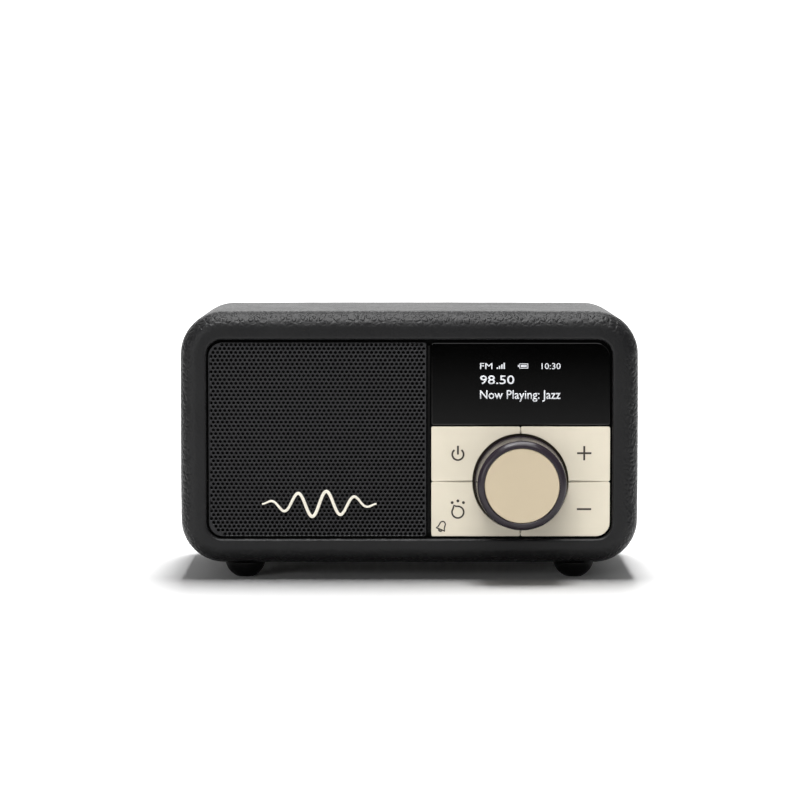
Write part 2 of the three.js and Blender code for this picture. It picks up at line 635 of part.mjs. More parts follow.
// USB-C receptacle: an oval shell with a tongue inside.
function makeUsbSocket() {
  const mouth = PANEL_BACK - 1.3;
  const oval = (trim, y0, y1) => {
    const [x, z] = [USB_WIDTH / 2 - trim, USB_HEIGHT / 2 - trim];
    return slab(rectangle(-x, x, -z, z, Array(4).fill(z - 0.01), 4), y0, y1);
  };
  return oval(0, SOCKET_FRONT, mouth)
    .subtract(oval(0.35, mouth - 6, mouth + 1))
    .add(block(-3.3, 3.3, mouth - 6.5, mouth - 0.6, -0.35, 0.35));
}
add(place(radio, USB_X, 0, SOCKET_Z), 'usb_c_socket', makeUsbSocket(), STEEL);

const jack = block(-3.5, 3.5, SOCKET_FRONT, PANEL_FRONT - 0.5, -3.5, 3.5)
  .add(cylinder(JACK_BARREL, PANEL_FRONT - 2, PANEL_BACK - 1, 20))
  .subtract(cylinder(1.8, PANEL_FRONT - 6, PANEL_BACK, 16));
add(place(radio, JACK_X, 0, SOCKET_Z), 'headphone_socket', jack, BLACK_PLASTIC);

// Two cells side by side in one sleeve, in a tray on the case floor.
const TRAY = { left: -9.8, right: 58.6, front: 18, back: 58, wall: 1.2, bottom: FLOOR_TOP + FIT };
const tray = block(TRAY.left, TRAY.right, TRAY.front, TRAY.back, TRAY.bottom, TRAY.bottom + 9)
  .subtract(block(TRAY.left + TRAY.wall, TRAY.right - TRAY.wall, TRAY.front + TRAY.wall,
    TRAY.back - TRAY.wall, TRAY.bottom + TRAY.wall, TRAY.bottom + 12));
add(radio, 'battery_tray', tray, BLACK_PLASTIC);

const CELL_RADIUS = 9.2;
function makeBattery() {
  const section = [
    ...arc(-CELL_RADIUS, 0, CELL_RADIUS, 90, 270, 10),
    ...arc(CELL_RADIUS, 0, CELL_RADIUS, -90, 90, 10),
  ];
  const geometry = new THREE.ExtrudeGeometry(shape(section), { depth: 65, bevelEnabled: false });
  return solid(geometry.rotateX(Math.PI / 2).rotateZ(Math.PI / 2));
}
const battery = add(radio, 'battery_pack', makeBattery(), CELL_WRAP);
battery.position.set(-8.1, (TRAY.front + TRAY.back) / 2, TRAY.bottom + TRAY.wall + CELL_RADIUS + FIT);

const speakerLead = wire(
  [[-14, 15, 58.8], [-8, 22, 61], [-2, 40, 60.5], [3, 54, 58], [8, 61, 57]], 0.8, 20);
add(radio, 'speaker_lead', speakerLead, WIRE_SLEEVE);

const aerialLead = wire(
  [[AERIAL_X, 65.6, AERIAL_Z], [-52, 61, 74], [-40, 57.8, 72.2], [-20, 57.4, 70.6], [-2, 59, 68.8],
    [6, 61, 67]], 0.6, 24);
add(radio, 'aerial_lead', aerialLead, BLACK_PLASTIC);

// Flat cable between the two boards, an S-shaped strip 14 mm wide.
function makeRibbon() {
  const line = new THREE.SplineCurve(
    [[BOARD_BACK + 0.2, 46], [25, 46.5], [40, 52], [52, 47], [MAIN_BOARD_Y - 0.2, 46.5]]
      .map(([y, z]) => new THREE.Vector2(y, z)));
  const points = line.getPoints(24).map((p) => [p.x, p.y]);
  const outline = shape(stripOutline(points, () => 0.25));
  const geometry = new THREE.ExtrudeGeometry(outline, { depth: 14, bevelEnabled: false });
  return solid(geometry.rotateX(Math.PI / 2).rotateZ(Math.PI / 2));
}
const ribbon = add(radio, 'ribbon_cable', makeRibbon(), FOAM);
ribbon.position.x = 14;

// ---------------------------------------------------------------- aerial

const aerial = place(radio, AERIAL_X, 0, AERIAL_Z);
const TURRET_TOP = CASE_DEPTH + 0.4;
const SECTION_FRONT = [10, 14.6, 16, 18]; // start of each section, along the aerial from its pivot
const SECTION_END = [104, 105.5, 107, 109];

// Turret that turns on the panel, with a riveted stud behind and a two-eared fork in front.
function makeAerialBase() {
  const turret = turned(
    [[0, 66], [2.3, 66], [2.3, 67], [3.6, 67], [3.6, PANEL_FRONT - 0.4], [2.3, PANEL_FRONT - 0.4],
      [2.3, PANEL_BACK + FIT], [5.8, PANEL_BACK + FIT], [5.8, TURRET_TOP - 0.4], [5.4, TURRET_TOP],
      [0, TURRET_TOP]], 20);
  const earFoot = TURRET_TOP - 0.5;
  const side = [
    [EAR_RADIUS, earFoot],
    ...arc(0, PIN_Y, EAR_RADIUS, 0, 180, 6),
    [-EAR_RADIUS, earFoot],
  ];
  const pinHole = turnedAlongZ([[0, -5], [1.1, -5], [1.1, 5], [0, 5]], 12, 0, PIN_Y);
  return turret.add(tablet(side, 1.7, 3.2)).add(tablet(side, -3.2, -1.7)).subtract(pinHole);
}
add(aerial, 'aerial_base', makeAerialBase(), BLACK_PLASTIC);

const pinProfile = [
  [0, -3.8], [1.5, -3.8], [1.5, -3.3], [0.9, -3.3],
  [0.9, 3.3], [1.5, 3.3], [1.5, 3.8], [0, 3.8],
];
add(aerial, 'aerial_pin', turnedAlongZ(pinProfile, 12, 0, PIN_Y), STEEL);

// Tongue between the fork's ears, a collar, and a spigot inside the first tube.
function makeKnuckle() {
  const r = TUBE_RADII[0];
  const tongue = [[7, PIN_Y - r], [7, PIN_Y + r], ...arc(0, PIN_Y, r, 90, 270, 8)];
  const collar = turnedAlongX(
    [[0, 6], [r, 6], [r, SECTION_FRONT[0]], [r - 0.6, SECTION_FRONT[0]], [r - 0.6, 14], [0, 14]], 12, PIN_Y);
  const pinHole = turnedAlongZ([[0, -5], [1.1, -5], [1.1, 5], [0, 5]], 12, 0, PIN_Y);
  return tablet(tongue, -1.5, 1.5).add(collar).subtract(pinHole);
}
add(aerial, 'aerial_knuckle', makeKnuckle(), BLACK_PLASTIC);

// Three chromed tubes and a rod with a button tip, one inside the other.
TUBE_RADII.forEach((r, k) => {
  const [x0, x1] = [SECTION_FRONT[k] + (k === 0 ? FIT : 0), SECTION_END[k]];
  const tip = [[2, x1], [2.6, x1 + 0.6], [2.6, x1 + 3.2], [1.8, x1 + 4], [0, x1 + 4]];
  const profile = k === 3
    ? [[0, x0], [r, x0], [r, x1], ...tip]
    : [[r - TUBE_WALL, x0], [r, x0], [r, x1], [r - TUBE_WALL, x1], [r - TUBE_WALL, x0]];
  add(aerial, `aerial_section_${k + 1}`, turnedAlongX(profile, 12, PIN_Y), CHROME);
});

// The origin lies under the middle of the object, from the dial's face to the aerial's fork.
radio.position.y = -(DIAL_FRONT + OBJECT_BACK) / 2;

export default radio;
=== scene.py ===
"""A small tabletop radio in black leathercloth: looks for each of its pieces, in order of assembly.

Sizes are in millimetres unless a name says otherwise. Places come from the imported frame, whose front
faces -Y.
"""

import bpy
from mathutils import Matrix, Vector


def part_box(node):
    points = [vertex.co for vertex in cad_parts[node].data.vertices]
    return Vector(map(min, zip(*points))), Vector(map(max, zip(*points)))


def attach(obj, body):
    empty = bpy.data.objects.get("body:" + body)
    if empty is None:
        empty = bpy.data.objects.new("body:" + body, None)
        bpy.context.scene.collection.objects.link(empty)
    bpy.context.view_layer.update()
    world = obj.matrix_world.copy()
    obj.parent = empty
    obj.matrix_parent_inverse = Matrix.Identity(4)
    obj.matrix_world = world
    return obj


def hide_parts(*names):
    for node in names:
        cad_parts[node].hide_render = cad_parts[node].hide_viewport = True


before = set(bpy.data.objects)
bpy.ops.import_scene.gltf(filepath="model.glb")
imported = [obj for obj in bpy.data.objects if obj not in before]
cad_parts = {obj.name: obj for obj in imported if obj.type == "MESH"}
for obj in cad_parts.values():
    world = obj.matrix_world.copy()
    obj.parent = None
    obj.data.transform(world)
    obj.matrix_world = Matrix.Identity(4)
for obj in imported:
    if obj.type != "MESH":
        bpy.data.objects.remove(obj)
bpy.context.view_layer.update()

import math

import bmesh
import bpy
import numpy as np

# ---------------------------------------------------------------------------------------------
# Camera, floor and lights. A long lens, slightly left of the middle and a little above the top,
# looks down at a white sweep. Soft boxes stand overhead and in front of it.
MM = 0.001


def box_mm(node):
    """The lowest and the highest corner of a CAD node, in millimetres."""
    return [np.array(corner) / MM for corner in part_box(node)]


case_low, case_high = box_mm("leathercloth_cover")
FRONT = case_low[1]
BACK = case_high[1]
MIDDLE_Z = (case_low[2] + case_high[2]) / 2

CAMERA_DISTANCE = 1000.0
CAMERA_LEFT = 3.07
CAMERA_HEIGHT = 131.4
AIM_HEIGHT = 59.0
LENS = 138.15

camera_data = bpy.data.cameras.new("camera")
camera_data.lens = LENS
camera_data.sensor_width = 36.0
camera_data.clip_start = 0.05
camera = bpy.data.objects.new("camera", camera_data)
camera.location = (-CAMERA_LEFT * MM, (FRONT - CAMERA_DISTANCE) * MM, CAMERA_HEIGHT * MM)
tilt = math.atan2(CAMERA_HEIGHT - AIM_HEIGHT, CAMERA_DISTANCE)
camera.rotation_euler = (math.pi / 2 - tilt, 0.0, 0.0)
bpy.context.scene.collection.objects.link(camera)
bpy.context.scene.camera = camera
bpy.context.scene.view_settings.view_transform = "Standard"


def node_of(tree, kind, **sockets):
    """A new node in a tree, with the named inputs set."""
    made = tree.nodes.new(kind)
    for socket, value in sockets.items():
        made.inputs[socket.replace("_", " ")].default_value = value
    return made


def grey_ramp(tree, stops):
    """A ramp of greys, each stop a place from 0 to 1 and a brightness."""
    made = tree.nodes.new("ShaderNodeValToRGB")
    ends = made.color_ramp.elements
    for element, (place, grey) in zip((ends[0], ends[1]), (stops[0], stops[-1])):
        element.position = place
        element.color = (grey, grey, grey, 1.0)
    for place, grey in stops[1:-1]:
        ends.new(place).color = (grey, grey, grey, 1.0)
    return made


def wire(tree, *pairs):
    """A link for each pair of an output and an input."""
    for start, end in pairs:
        tree.links.new(start, end)


def stage_plane(name, corners, colour, roughness):
    """A flat four-cornered sheet that isn't part of the radio."""
    mesh = bpy.data.meshes.new(name)
    mesh.from_pydata(corners, [], [(0, 1, 2, 3)])
    sheet = bpy.data.objects.new(name, mesh)
    bpy.context.scene.collection.objects.link(sheet)
    material = bpy.data.materials.new(name)
    material.use_nodes = True
    shader = material.node_tree.nodes["Principled BSDF"]
    shader.inputs["Base Color"].default_value = (*colour, 1.0)
    shader.inputs["Roughness"].default_value = roughness
    shader.inputs["Specular IOR Level"].default_value = 0.0
    mesh.materials.append(material)
    return sheet


# The floor's own sizes are in metres.
FLOOR_SIDE = 2.2
FLOOR_FRONT = -1.6
FLOOR_BACK = 2.5
floor_corners = [
    (-FLOOR_SIDE, FLOOR_FRONT, 0.0),
    (FLOOR_SIDE, FLOOR_FRONT, 0.0),
    (FLOOR_SIDE, FLOOR_BACK, 0.0),
    (-FLOOR_SIDE, FLOOR_BACK, 0.0),
]
floor = stage_plane("floor", floor_corners, (0.9, 0.9, 0.9), 0.7)
# The floor is lit from below more and more towards the back, so that it fades into the white room. In front
# it ends in a dark floor, which is what the polished pieces mirror. Looked at directly the dark end is white
# too, so that the ground in front of the radio is white from every side.
floor_paint = floor.data.materials[0].node_tree
floor_shader = floor_paint.nodes["Principled BSDF"]
floor_shader.inputs["Emission Color"].default_value = (1.0, 1.0, 1.0, 1.0)
floor_place = node_of(floor_paint, "ShaderNodeTexCoord")
floor_parts = node_of(floor_paint, "ShaderNodeSeparateXYZ")
floor_glow = node_of(floor_paint, "ShaderNodeMapRange", From_Min=0.25, From_Max=1.3, To_Max=1.1)
floor_span = node_of(floor_paint, "ShaderNodeMapRange", From_Min=FLOOR_FRONT, From_Max=-0.4)
floor_shade = grey_ramp(floor_paint, [(0.2, 0.0), (0.85, 0.4), (0.98, 0.9)])
floor_end = node_of(floor_paint, "ShaderNodeMapRange", From_Min=-0.28, From_Max=-0.5)
floor_seen = node_of(floor_paint, "ShaderNodeLightPath")
floor_add = node_of(floor_paint, "ShaderNodeMath")
floor_add.operation = "MULTIPLY_ADD"
wire(
    floor_paint,
    (floor_place.outputs["Object"], floor_parts.inputs[0]),
    (floor_parts.outputs["Y"], floor_glow.inputs["Value"]),
    (floor_parts.outputs["Y"], floor_end.inputs["Value"]),
    (floor_seen.outputs["Is Camera Ray"], floor_add.inputs[0]),
    (floor_end.outputs["Result"], floor_add.inputs[1]),
    (floor_glow.outputs["Result"], floor_add.inputs[2]),
    (floor_add.outputs[0], floor_shader.inputs["Emission Strength"]),
    (floor_parts.outputs["Y"], floor_span.inputs["Value"]),
    (floor_span.outputs["Result"], floor_shade.inputs["Fac"]),
    (floor_shade.outputs["Color"], floor_shader.inputs["Base Color"]),
)


def soft_box(name, place, aim, size, watts):
    """A rectangular light of the given size in metres, turned to face a point."""
    light = bpy.data.lights.new(name, "AREA")
    light.shape = "RECTANGLE"
    light.size, light.size_y = size
    light.energy = watts
    lamp = bpy.data.objects.new(name, light)
    lamp.location = place
    direction = np.array(aim, float) - np.array(place, float)
    flat = math.hypot(direction[0], direction[1])
    lamp.rotation_euler = (math.atan2(flat, -direction[2]), 0.0, math.atan2(-direction[0], direction[1]))
    bpy.context.scene.collection.objects.link(lamp)
    return lamp


# One box lights only the sweep and draws the soft shadow under the radio. One stands at the side and lights
# both. The rest are flagged off the floor, so that they shape the radio without filling that shadow.
soft_box("front_side", (-1.1, -1.5, 0.4), (0.0, 0.0, 0.05), (1.0, 0.7), 5.5)
sweep_only = bpy.data.collections.new("sweep_only")
sweep_only.objects.link(floor)
sweep = soft_box("sweep", (0.04, 0.4, 1.2), (0.04, 0.4, 0.0), (0.35, 0.95), 26.0)
sweep.light_linking.receiver_collection = sweep_only
flag = bpy.data.collections.new("flagged_floor")
flag.objects.link(floor)
flag.collection_objects[0].light_linking.link_state = "EXCLUDE"
for box_light in (
    soft_box("top", (0.0, -0.15, 1.2), (0.0, -0.15, 0.0), (0.9, 1.2), 22.0),
    soft_box("front_high", (0.0, -1.05, 1.15), (0.0, 0.0, 0.05), (1.2, 0.8), 9.5),
    soft_box("front_top", (-0.3, -0.45, 1.1), (0.0, 0.0, 0.05), (0.4, 0.32), 3.5),
    soft_box("front", (0.2, -1.8, 0.4), (0.0, 0.0, 0.05), (2.4, 0.7), 1.5),
):
    box_light.light_linking.receiver_collection = flag

# The room: white wherever the lens sees it, dim at the front and bright behind for what mirrors it.
world = bpy.data.worlds.new("room")
bpy.context.scene.world = world
world.use_nodes = True
room = world.node_tree
room.nodes.clear()
room_out = node_of(room, "ShaderNodeOutputWorld")
seen = node_of(room, "ShaderNodeBackground", Color=(1.0, 1.0, 1.0, 1.0), Strength=1.15)
mirrored = node_of(room, "ShaderNodeBackground", Strength=2.0)
direction = node_of(room, "ShaderNodeTexCoord")
parts = node_of(room, "ShaderNodeSeparateXYZ")
ramp = grey_ramp(room, [(0.42, 0.012), (0.88, 0.36), (0.975, 1.1), (0.998, 0.27)])
span = node_of(room, "ShaderNodeMapRange", From_Min=-1.0)
choose = node_of(room, "ShaderNodeMixShader")
path = node_of(room, "ShaderNodeLightPath")
wire(
    room,
    (direction.outputs["Generated"], parts.inputs[0]),
    (parts.outputs["Y"], span.inputs["Value"]),
    (span.outputs["Result"], ramp.inputs["Fac"]),
    (ramp.outputs["Color"], mirrored.inputs["Color"]),
    (path.outputs["Is Camera Ray"], choose.inputs["Fac"]),
    (mirrored.outputs[0], choose.inputs[1]),
    (seen.outputs[0], choose.inputs[2]),
    (choose.outputs[0], room_out.inputs["Surface"]),
)

# ---------------------------------------------------------------------------------------------
# Case shell and front baffle: black ABS mouldings with a fine spark-eroded grain. The baffle is
# screwed into the shell from inside, and only its seats and divider rib show from the front.


def finish(name, colour, roughness, metallic=0.0, coat=0.0, specular=0.5):
    """A material of one colour, with its constants on the shader's own sockets."""
    material = bpy.data.materials.new(name)
    material.use_nodes = True
    shader = material.node_tree.nodes["Principled BSDF"]
    shader.inputs["Base Color"].default_value = (*colour, 1.0)
    shader.inputs["Roughness"].default_value = roughness
    shader.inputs["Metallic"].default_value = metallic
    shader.inputs["Specular IOR Level"].default_value = specular
    shader.inputs["Coat Weight"].default_value = coat
    shader.inputs["Coat Roughness"].default_value = 0.08
    return material


def node_in(material, kind, **sockets):
    """A new shader node in a material, with the named inputs set."""
    return node_of(material.node_tree, kind, **sockets)


def pattern_place(material, size, stretch=(1.0, 1.0, 1.0)):
    """Object coordinates scaled so that one unit is one grain of that size in millimetres."""
    coordinates = node_in(material, "ShaderNodeTexCoord")
    mapping = node_in(material, "ShaderNodeMapping")
    mapping.inputs["Scale"].default_value = [k / (size * MM) for k in stretch]
    material.node_tree.links.new(coordinates.outputs["Object"], mapping.inputs["Vector"])
    return mapping.outputs["Vector"]


def add_bump(material, height, depth, strength=1.0):
    """Height from 0 to 1 as relief of that depth in millimetres, on top of any relief already there."""
    links = material.node_tree.links
    shader = material.node_tree.nodes["Principled BSDF"]
    bump = node_in(material, "ShaderNodeBump", Strength=strength, Distance=depth * MM)
    before = shader.inputs["Normal"].links
    if before:
        links.new(before[0].from_socket, bump.inputs["Normal"])
    links.new(height, bump.inputs["Height"])
    links.new(bump.outputs["Normal"], shader.inputs["Normal"])


def add_mottle(material, colour, size, swing, rough, rough_swing):
    """Soft clouds that swing the colour and the roughness a little each side of their middle."""
    links = material.node_tree.links
    shader = material.node_tree.nodes["Principled BSDF"]
    clouds = node_in(material, "ShaderNodeTexNoise", Scale=1.0, Detail=4.0)
    links.new(pattern_place(material, size), clouds.inputs["Vector"])
    tint = node_in(material, "ShaderNodeMix")
    tint.data_type = "RGBA"
    links.new(clouds.outputs["Fac"], tint.inputs["Factor"])
    tint.inputs[6].default_value = (*[c * (1 - swing) for c in colour], 1.0)
    tint.inputs[7].default_value = (*[min(c * (1 + swing), 1.0) for c in colour], 1.0)
    links.new(tint.outputs[2], shader.inputs["Base Color"])
    spread = node_in(material, "ShaderNodeMapRange", From_Min=0.3, From_Max=0.7)
    spread.inputs["To Min"].default_value = rough - rough_swing
    spread.inputs["To Max"].default_value = rough + rough_swing
    links.new(clouds.outputs["Fac"], spread.inputs["Value"])
    links.new(spread.outputs["Result"], shader.inputs["Roughness"])


def add_grain(material, size, depth, detail=3.0, stretch=(1.0, 1.0, 1.0)):
    """Fine noise relief, as on a spark-eroded moulding or a cast or brushed surface."""
    noise = node_in(material, "ShaderNodeTexNoise", Scale=1.0, Detail=detail)
    vector = pattern_place(material, size, stretch)
    material.node_tree.links.new(vector, noise.inputs["Vector"])
    add_bump(material, noise.outputs["Fac"], depth)


def mottled(name, colour, roughness, size, swing, rough_swing, **shader):
    """A material of one colour with soft clouds in it, of that size in millimetres."""
    material = finish(name, colour, roughness, **shader)
    add_mottle(material, colour, size, swing, roughness, rough_swing)
    return material


def moulding(name, colour, roughness, grain=0.35, depth=0.02, **shader):
    """Injection-moulded plastic: an even colour, a little mottled, with a fine grain."""
    material = mottled(name, colour, roughness, 9.0, 0.05, 0.05, **shader)
    add_grain(material, grain, depth)
    return material


def dress(material, *nodes):
    """CAD nodes that keep their own shape get a material."""
    for node in nodes:
        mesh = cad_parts[node].data
        mesh.materials.clear()
        mesh.materials.append(material)


BLACK = (0.012, 0.012, 0.013)
black_abs = moulding("black_abs", BLACK, 0.48)
dress(black_abs, "case_shell")
# The baffle shows only in the gaps round the inserts, and is made blacker and less shiny than the shell:
# painted shade in those gaps.
gap_shade_abs = moulding("gap_shade_abs", (0.002, 0.002, 0.002), 0.65, specular=0.12)
dress(gap_shade_abs, "front_baffle")

# ---------------------------------------------------------------------------------------------
# Leathercloth cover: pebbled black cloth-backed vinyl, glued over the shell all round, turned in
# over a soft lip at the front opening and over the rear edge.

CORNER = 14.0
FRONT_ROUND = 6.0
REAR_ROUND = 3.0
RIM = 8.8
OPENING_DROP = 0.5
LIP = 1.0
CLOTH = 0.9
REAR_LIP = 5.0
TURN_IN = 0.8
SIDE_BOW = 0.3
TOP_BOW = 0.16
DEPTH = BACK - FRONT
HALF_WIDTH = case_high[0]
HALF_HEIGHT = (case_high[2] - case_low[2]) / 2


def arc(cx, cy, radius, start, end, steps):
    """Points on a circle's arc between two angles in degrees, as an array of pairs."""
    angle = np.radians(np.linspace(start, end, steps + 1))
    return np.stack([cx + radius * np.cos(angle), cy + radius * np.sin(angle)], axis=1)


def straight(start, end, steps):
    """Points on a straight line, without its first point."""
    return np.linspace(start, end, steps + 1)[1:]


def rounded_box(left, right, bottom, top, radii, corner_steps, side_step):
    """A rectangle's outline, run anticlockwise from its bottom right corner. Each corner is an arc of its own
    radius, in the order bottom right, top right, top left, bottom left, and each side is split into steps of
    about one length."""
    br, tr, tl, bl = radii
    corners = [
        arc(right - br, bottom + br, br, -90, 0, corner_steps),
        arc(right - tr, top - tr, tr, 0, 90, corner_steps),
        arc(left + tl, top - tl, tl, 90, 180, corner_steps),
        arc(left + bl, bottom + bl, bl, 180, 270, corner_steps),
    ]
    run = []
    for here, after in zip(corners, corners[1:] + corners[:1]):
        steps = max(1, round(float(np.hypot(*(after[0] - here[-1]))) / side_step))
        run += [here, straight(here[-1], after[0], steps)[:-1]]
    return np.concatenate(run)


def case_frame(side_step, corner_steps):
    """The case's outline as the path of its corner centres and the outward direction at each point, so that
    a point on the case is centre + (corner radius - inset) * outward."""
    outer = rounded_box(
        -HALF_WIDTH, HALF_WIDTH, -HALF_HEIGHT, HALF_HEIGHT, [CORNER] * 4, corner_steps, side_step
    )
    centre = np.stack(
        [
            np.clip(outer[:, 0], CORNER - HALF_WIDTH, HALF_WIDTH - CORNER),
            np.clip(outer[:, 1], CORNER - HALF_HEIGHT, HALF_HEIGHT - CORNER),
        ],
        axis=1,
    )
    return centre, (outer - centre) / CORNER


def net(name, rows, close_rows, close_columns, sharp=40.0):
    """A grid of points becomes a mesh of four-sided faces. A closed direction joins its last line to its
    first. Points that meet, as at a pole, become one, and the faces of a closed shape are turned outwards."""
    count, around = rows.shape[:2]
    i = np.arange(count if close_rows else count - 1)[:, None]
    j = np.arange(around if close_columns else around - 1)[None, :]
    i_next, j_next = (i + 1) % count, (j + 1) % around
    faces = np.stack(
        [i * around + j, i * around + j_next, i_next * around + j_next, i_next * around + j], axis=-1
    )
    return shell(name, rows.reshape(-1, 3), faces.reshape(-1, 4), sharp)


def shell(name, points, faces, sharp=40.0):
    """Points in millimetres and faces of three or four corners become a clean mesh in metres."""
    mesh = bpy.data.meshes.new(name)
    mesh.from_pydata((points * MM).tolist(), [], faces.tolist())
    return tidied(mesh, sharp)


def tidied(mesh, sharp):
    """Doubled points merged, faces outwards, shaded smooth but for edges sharper than an angle in degrees."""
    work = bmesh.new()
    work.from_mesh(mesh)
    bmesh.ops.remove_doubles(work, verts=work.verts, dist=2e-7)
    bmesh.ops.recalc_face_normals(work, faces=work.faces)
    if work.calc_volume(signed=True) < 0:
        bmesh.ops.reverse_faces(work, faces=work.faces)
    work.to_mesh(mesh)
    work.free()
    mesh.polygons.foreach_set("use_smooth", np.ones(len(mesh.polygons), bool))
    mesh.set_sharp_from_angle(angle=math.radians(sharp))
    return mesh


def fit(mesh, body, slot, material, *nodes):
    """A finished mesh becomes a piece that moves with a body, in place of CAD nodes."""
    piece = bpy.data.objects.new(mesh.name, mesh)
    bpy.context.scene.collection.objects.link(piece)
    mesh.materials.clear()
    mesh.materials.append(material)
    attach(piece, body)
    if nodes:
        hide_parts(*nodes)
    return piece


def soft_waves(x, y, z, length, seed):
    """A sum of eight plane waves of about one length in seeded directions, from about -1 to 1."""
    draw = np.random.default_rng(seed)
    total = np.zeros(np.broadcast(x, y, z).shape)
    for _ in range(8):
        way = draw.normal(size=3)
        way *= 2 * math.pi / (length * draw.uniform(0.7, 1.4) * np.linalg.norm(way))
        total = total + np.sin(way[0] * x + way[1] * y + way[2] * z + draw.uniform(0, 2 * math.pi))
    return total / 4


outer_run = np.concatenate(
    [
        [[RIM, 3.0], [RIM, 2.0]],
        arc(RIM - LIP, LIP, LIP, 0, -90, 6),
        straight((RIM - LIP, 0.0), (FRONT_ROUND, 0.0), 3),
        arc(FRONT_ROUND, FRONT_ROUND, FRONT_ROUND, -90, -180, 16)[1:],
        straight((0.0, FRONT_ROUND), (0.0, DEPTH - REAR_ROUND), 66),
        arc(REAR_ROUND, DEPTH - REAR_ROUND, REAR_ROUND, 180, 90, 8)[1:],
        arc(REAR_LIP - TURN_IN, DEPTH - TURN_IN, TURN_IN, 90, 0, 4),
        [[REAR_LIP, DEPTH - 2.5]],
    ]
)
inner_run = np.concatenate(
    [
        [[REAR_LIP - CLOTH, DEPTH - 2.5], [REAR_LIP - CLOTH, DEPTH - CLOTH]],
        arc(REAR_ROUND, DEPTH - REAR_ROUND, REAR_ROUND - CLOTH, 90, 180, 3),
        straight((CLOTH, DEPTH - REAR_ROUND), (CLOTH, FRONT_ROUND), 2),
        arc(FRONT_ROUND, FRONT_ROUND, FRONT_ROUND - CLOTH, -180, -90, 5)[1:],
        [[RIM - CLOTH, CLOTH], [RIM - CLOTH, 3.0]],
    ]
)
section = np.concatenate([outer_run, inner_run])
outward_share = np.concatenate([np.ones(len(outer_run)), np.zeros(len(inner_run))])[:, None]
centre, outward = case_frame(1.15, 20)
reach = CORNER - section[:, 0][:, None]
cover_x = centre[None, :, 0] + reach * outward[None, :, 0]
cover_z = centre[None, :, 1] + reach * outward[None, :, 1]
cover_y = np.broadcast_to(section[:, 1][:, None], cover_x.shape)
sink = OPENING_DROP * section[:, 0][:, None] / RIM * (section[:, 1][:, None] < FRONT_ROUND)
bow = -SIDE_BOW * np.abs(outward[:, 0]) * (cover_z / HALF_HEIGHT) ** 2
bow = bow - TOP_BOW * np.abs(outward[:, 1]) * (cover_x / HALF_WIDTH) ** 2
ripple = 0.02 * (soft_waves(cover_x, cover_y, cover_z, 7.0, 11) - 1.3) * outward_share
shift = bow * np.clip(1 - section[:, 0][:, None] / RIM, 0, 1) + ripple * np.clip(reach / CORNER, 0.3, 1)
cover_points = np.stack(
    [
        cover_x + shift * outward[None, :, 0],
        cover_y + FRONT - ripple * np.clip(1 - section[:, 1][:, None] / FRONT_ROUND, 0, 1),
        cover_z + shift * outward[None, :, 1] + MIDDLE_Z - sink,
    ],
    axis=-1,
)

LEATHER_COLOUR = (0.011, 0.011, 0.0115)
leathercloth = mottled("leathercloth", LEATHER_COLOUR, 0.36, 14.0, 0.1, 0.04, specular=0.22)
leather_links = leathercloth.node_tree.links
warp = node_in(leathercloth, "ShaderNodeTexNoise", Scale=1.0, Detail=2.0)
leather_links.new(pattern_place(leathercloth, 2.6), warp.inputs["Vector"])
bend = node_in(leathercloth, "ShaderNodeVectorMath")
bend.operation = "MULTIPLY_ADD"
bend.inputs[1].default_value = (0.6, 0.6, 0.6)
leather_links.new(warp.outputs["Color"], bend.inputs[0])
leather_links.new(pattern_place(leathercloth, 1.8), bend.inputs[2])
pebbles = node_in(leathercloth, "ShaderNodeTexVoronoi", Scale=1.0)
pebbles.feature = "DISTANCE_TO_EDGE"
leather_links.new(bend.outputs["Vector"], pebbles.inputs["Vector"])
crease = node_in(leathercloth, "ShaderNodeMapRange", From_Min=0.0, From_Max=0.35)
crease.interpolation_type = "SMOOTHERSTEP"
leather_links.new(pebbles.outputs["Distance"], crease.inputs["Value"])
swell = node_in(leathercloth, "ShaderNodeTexNoise", Scale=1.0, Detail=2.0)
leather_links.new(pattern_place(leathercloth, 3.0), swell.inputs["Vector"])
grain_sum = node_in(leathercloth, "ShaderNodeMath")
grain_sum.operation = "ADD"
leather_links.new(crease.outputs["Result"], grain_sum.inputs[0])
leather_links.new(swell.outputs["Fac"], grain_sum.inputs[1])
# The cloth is stretched where it is drawn over the front edge, and its grain is pulled almost flat there.
cloth_place = node_in(leathercloth, "ShaderNodeTexCoord")
cloth_parts = node_in(leathercloth, "ShaderNodeSeparateXYZ")
stretch = node_in(
    leathercloth,
    "ShaderNodeMapRange",
    From_Min=(FRONT + 0.02) * MM,
    From_Max=(FRONT + 0.9) * MM,
    To_Min=0.12,
)
leather_links.new(cloth_place.outputs["Object"], cloth_parts.inputs[0])
leather_links.new(cloth_parts.outputs["Y"], stretch.inputs["Value"])
drawn = node_in(leathercloth, "ShaderNodeMath")
drawn.operation = "MULTIPLY"
leather_links.new(grain_sum.outputs[0], drawn.inputs[0])
leather_links.new(stretch.outputs["Result"], drawn.inputs[1])
add_bump(leathercloth, drawn.outputs[0], 0.15)
add_grain(leathercloth, 0.8, 0.012)

fit(
    net("leathercloth", cover_points, True, True, 50.0),
    "radio",
    "leathercloth",
    leathercloth,
    "leathercloth_cover",
)

# ---------------------------------------------------------------------------------------------
# Feet: four moulded rubber domes with a flat sole, pushed through the case floor by a barbed stem.


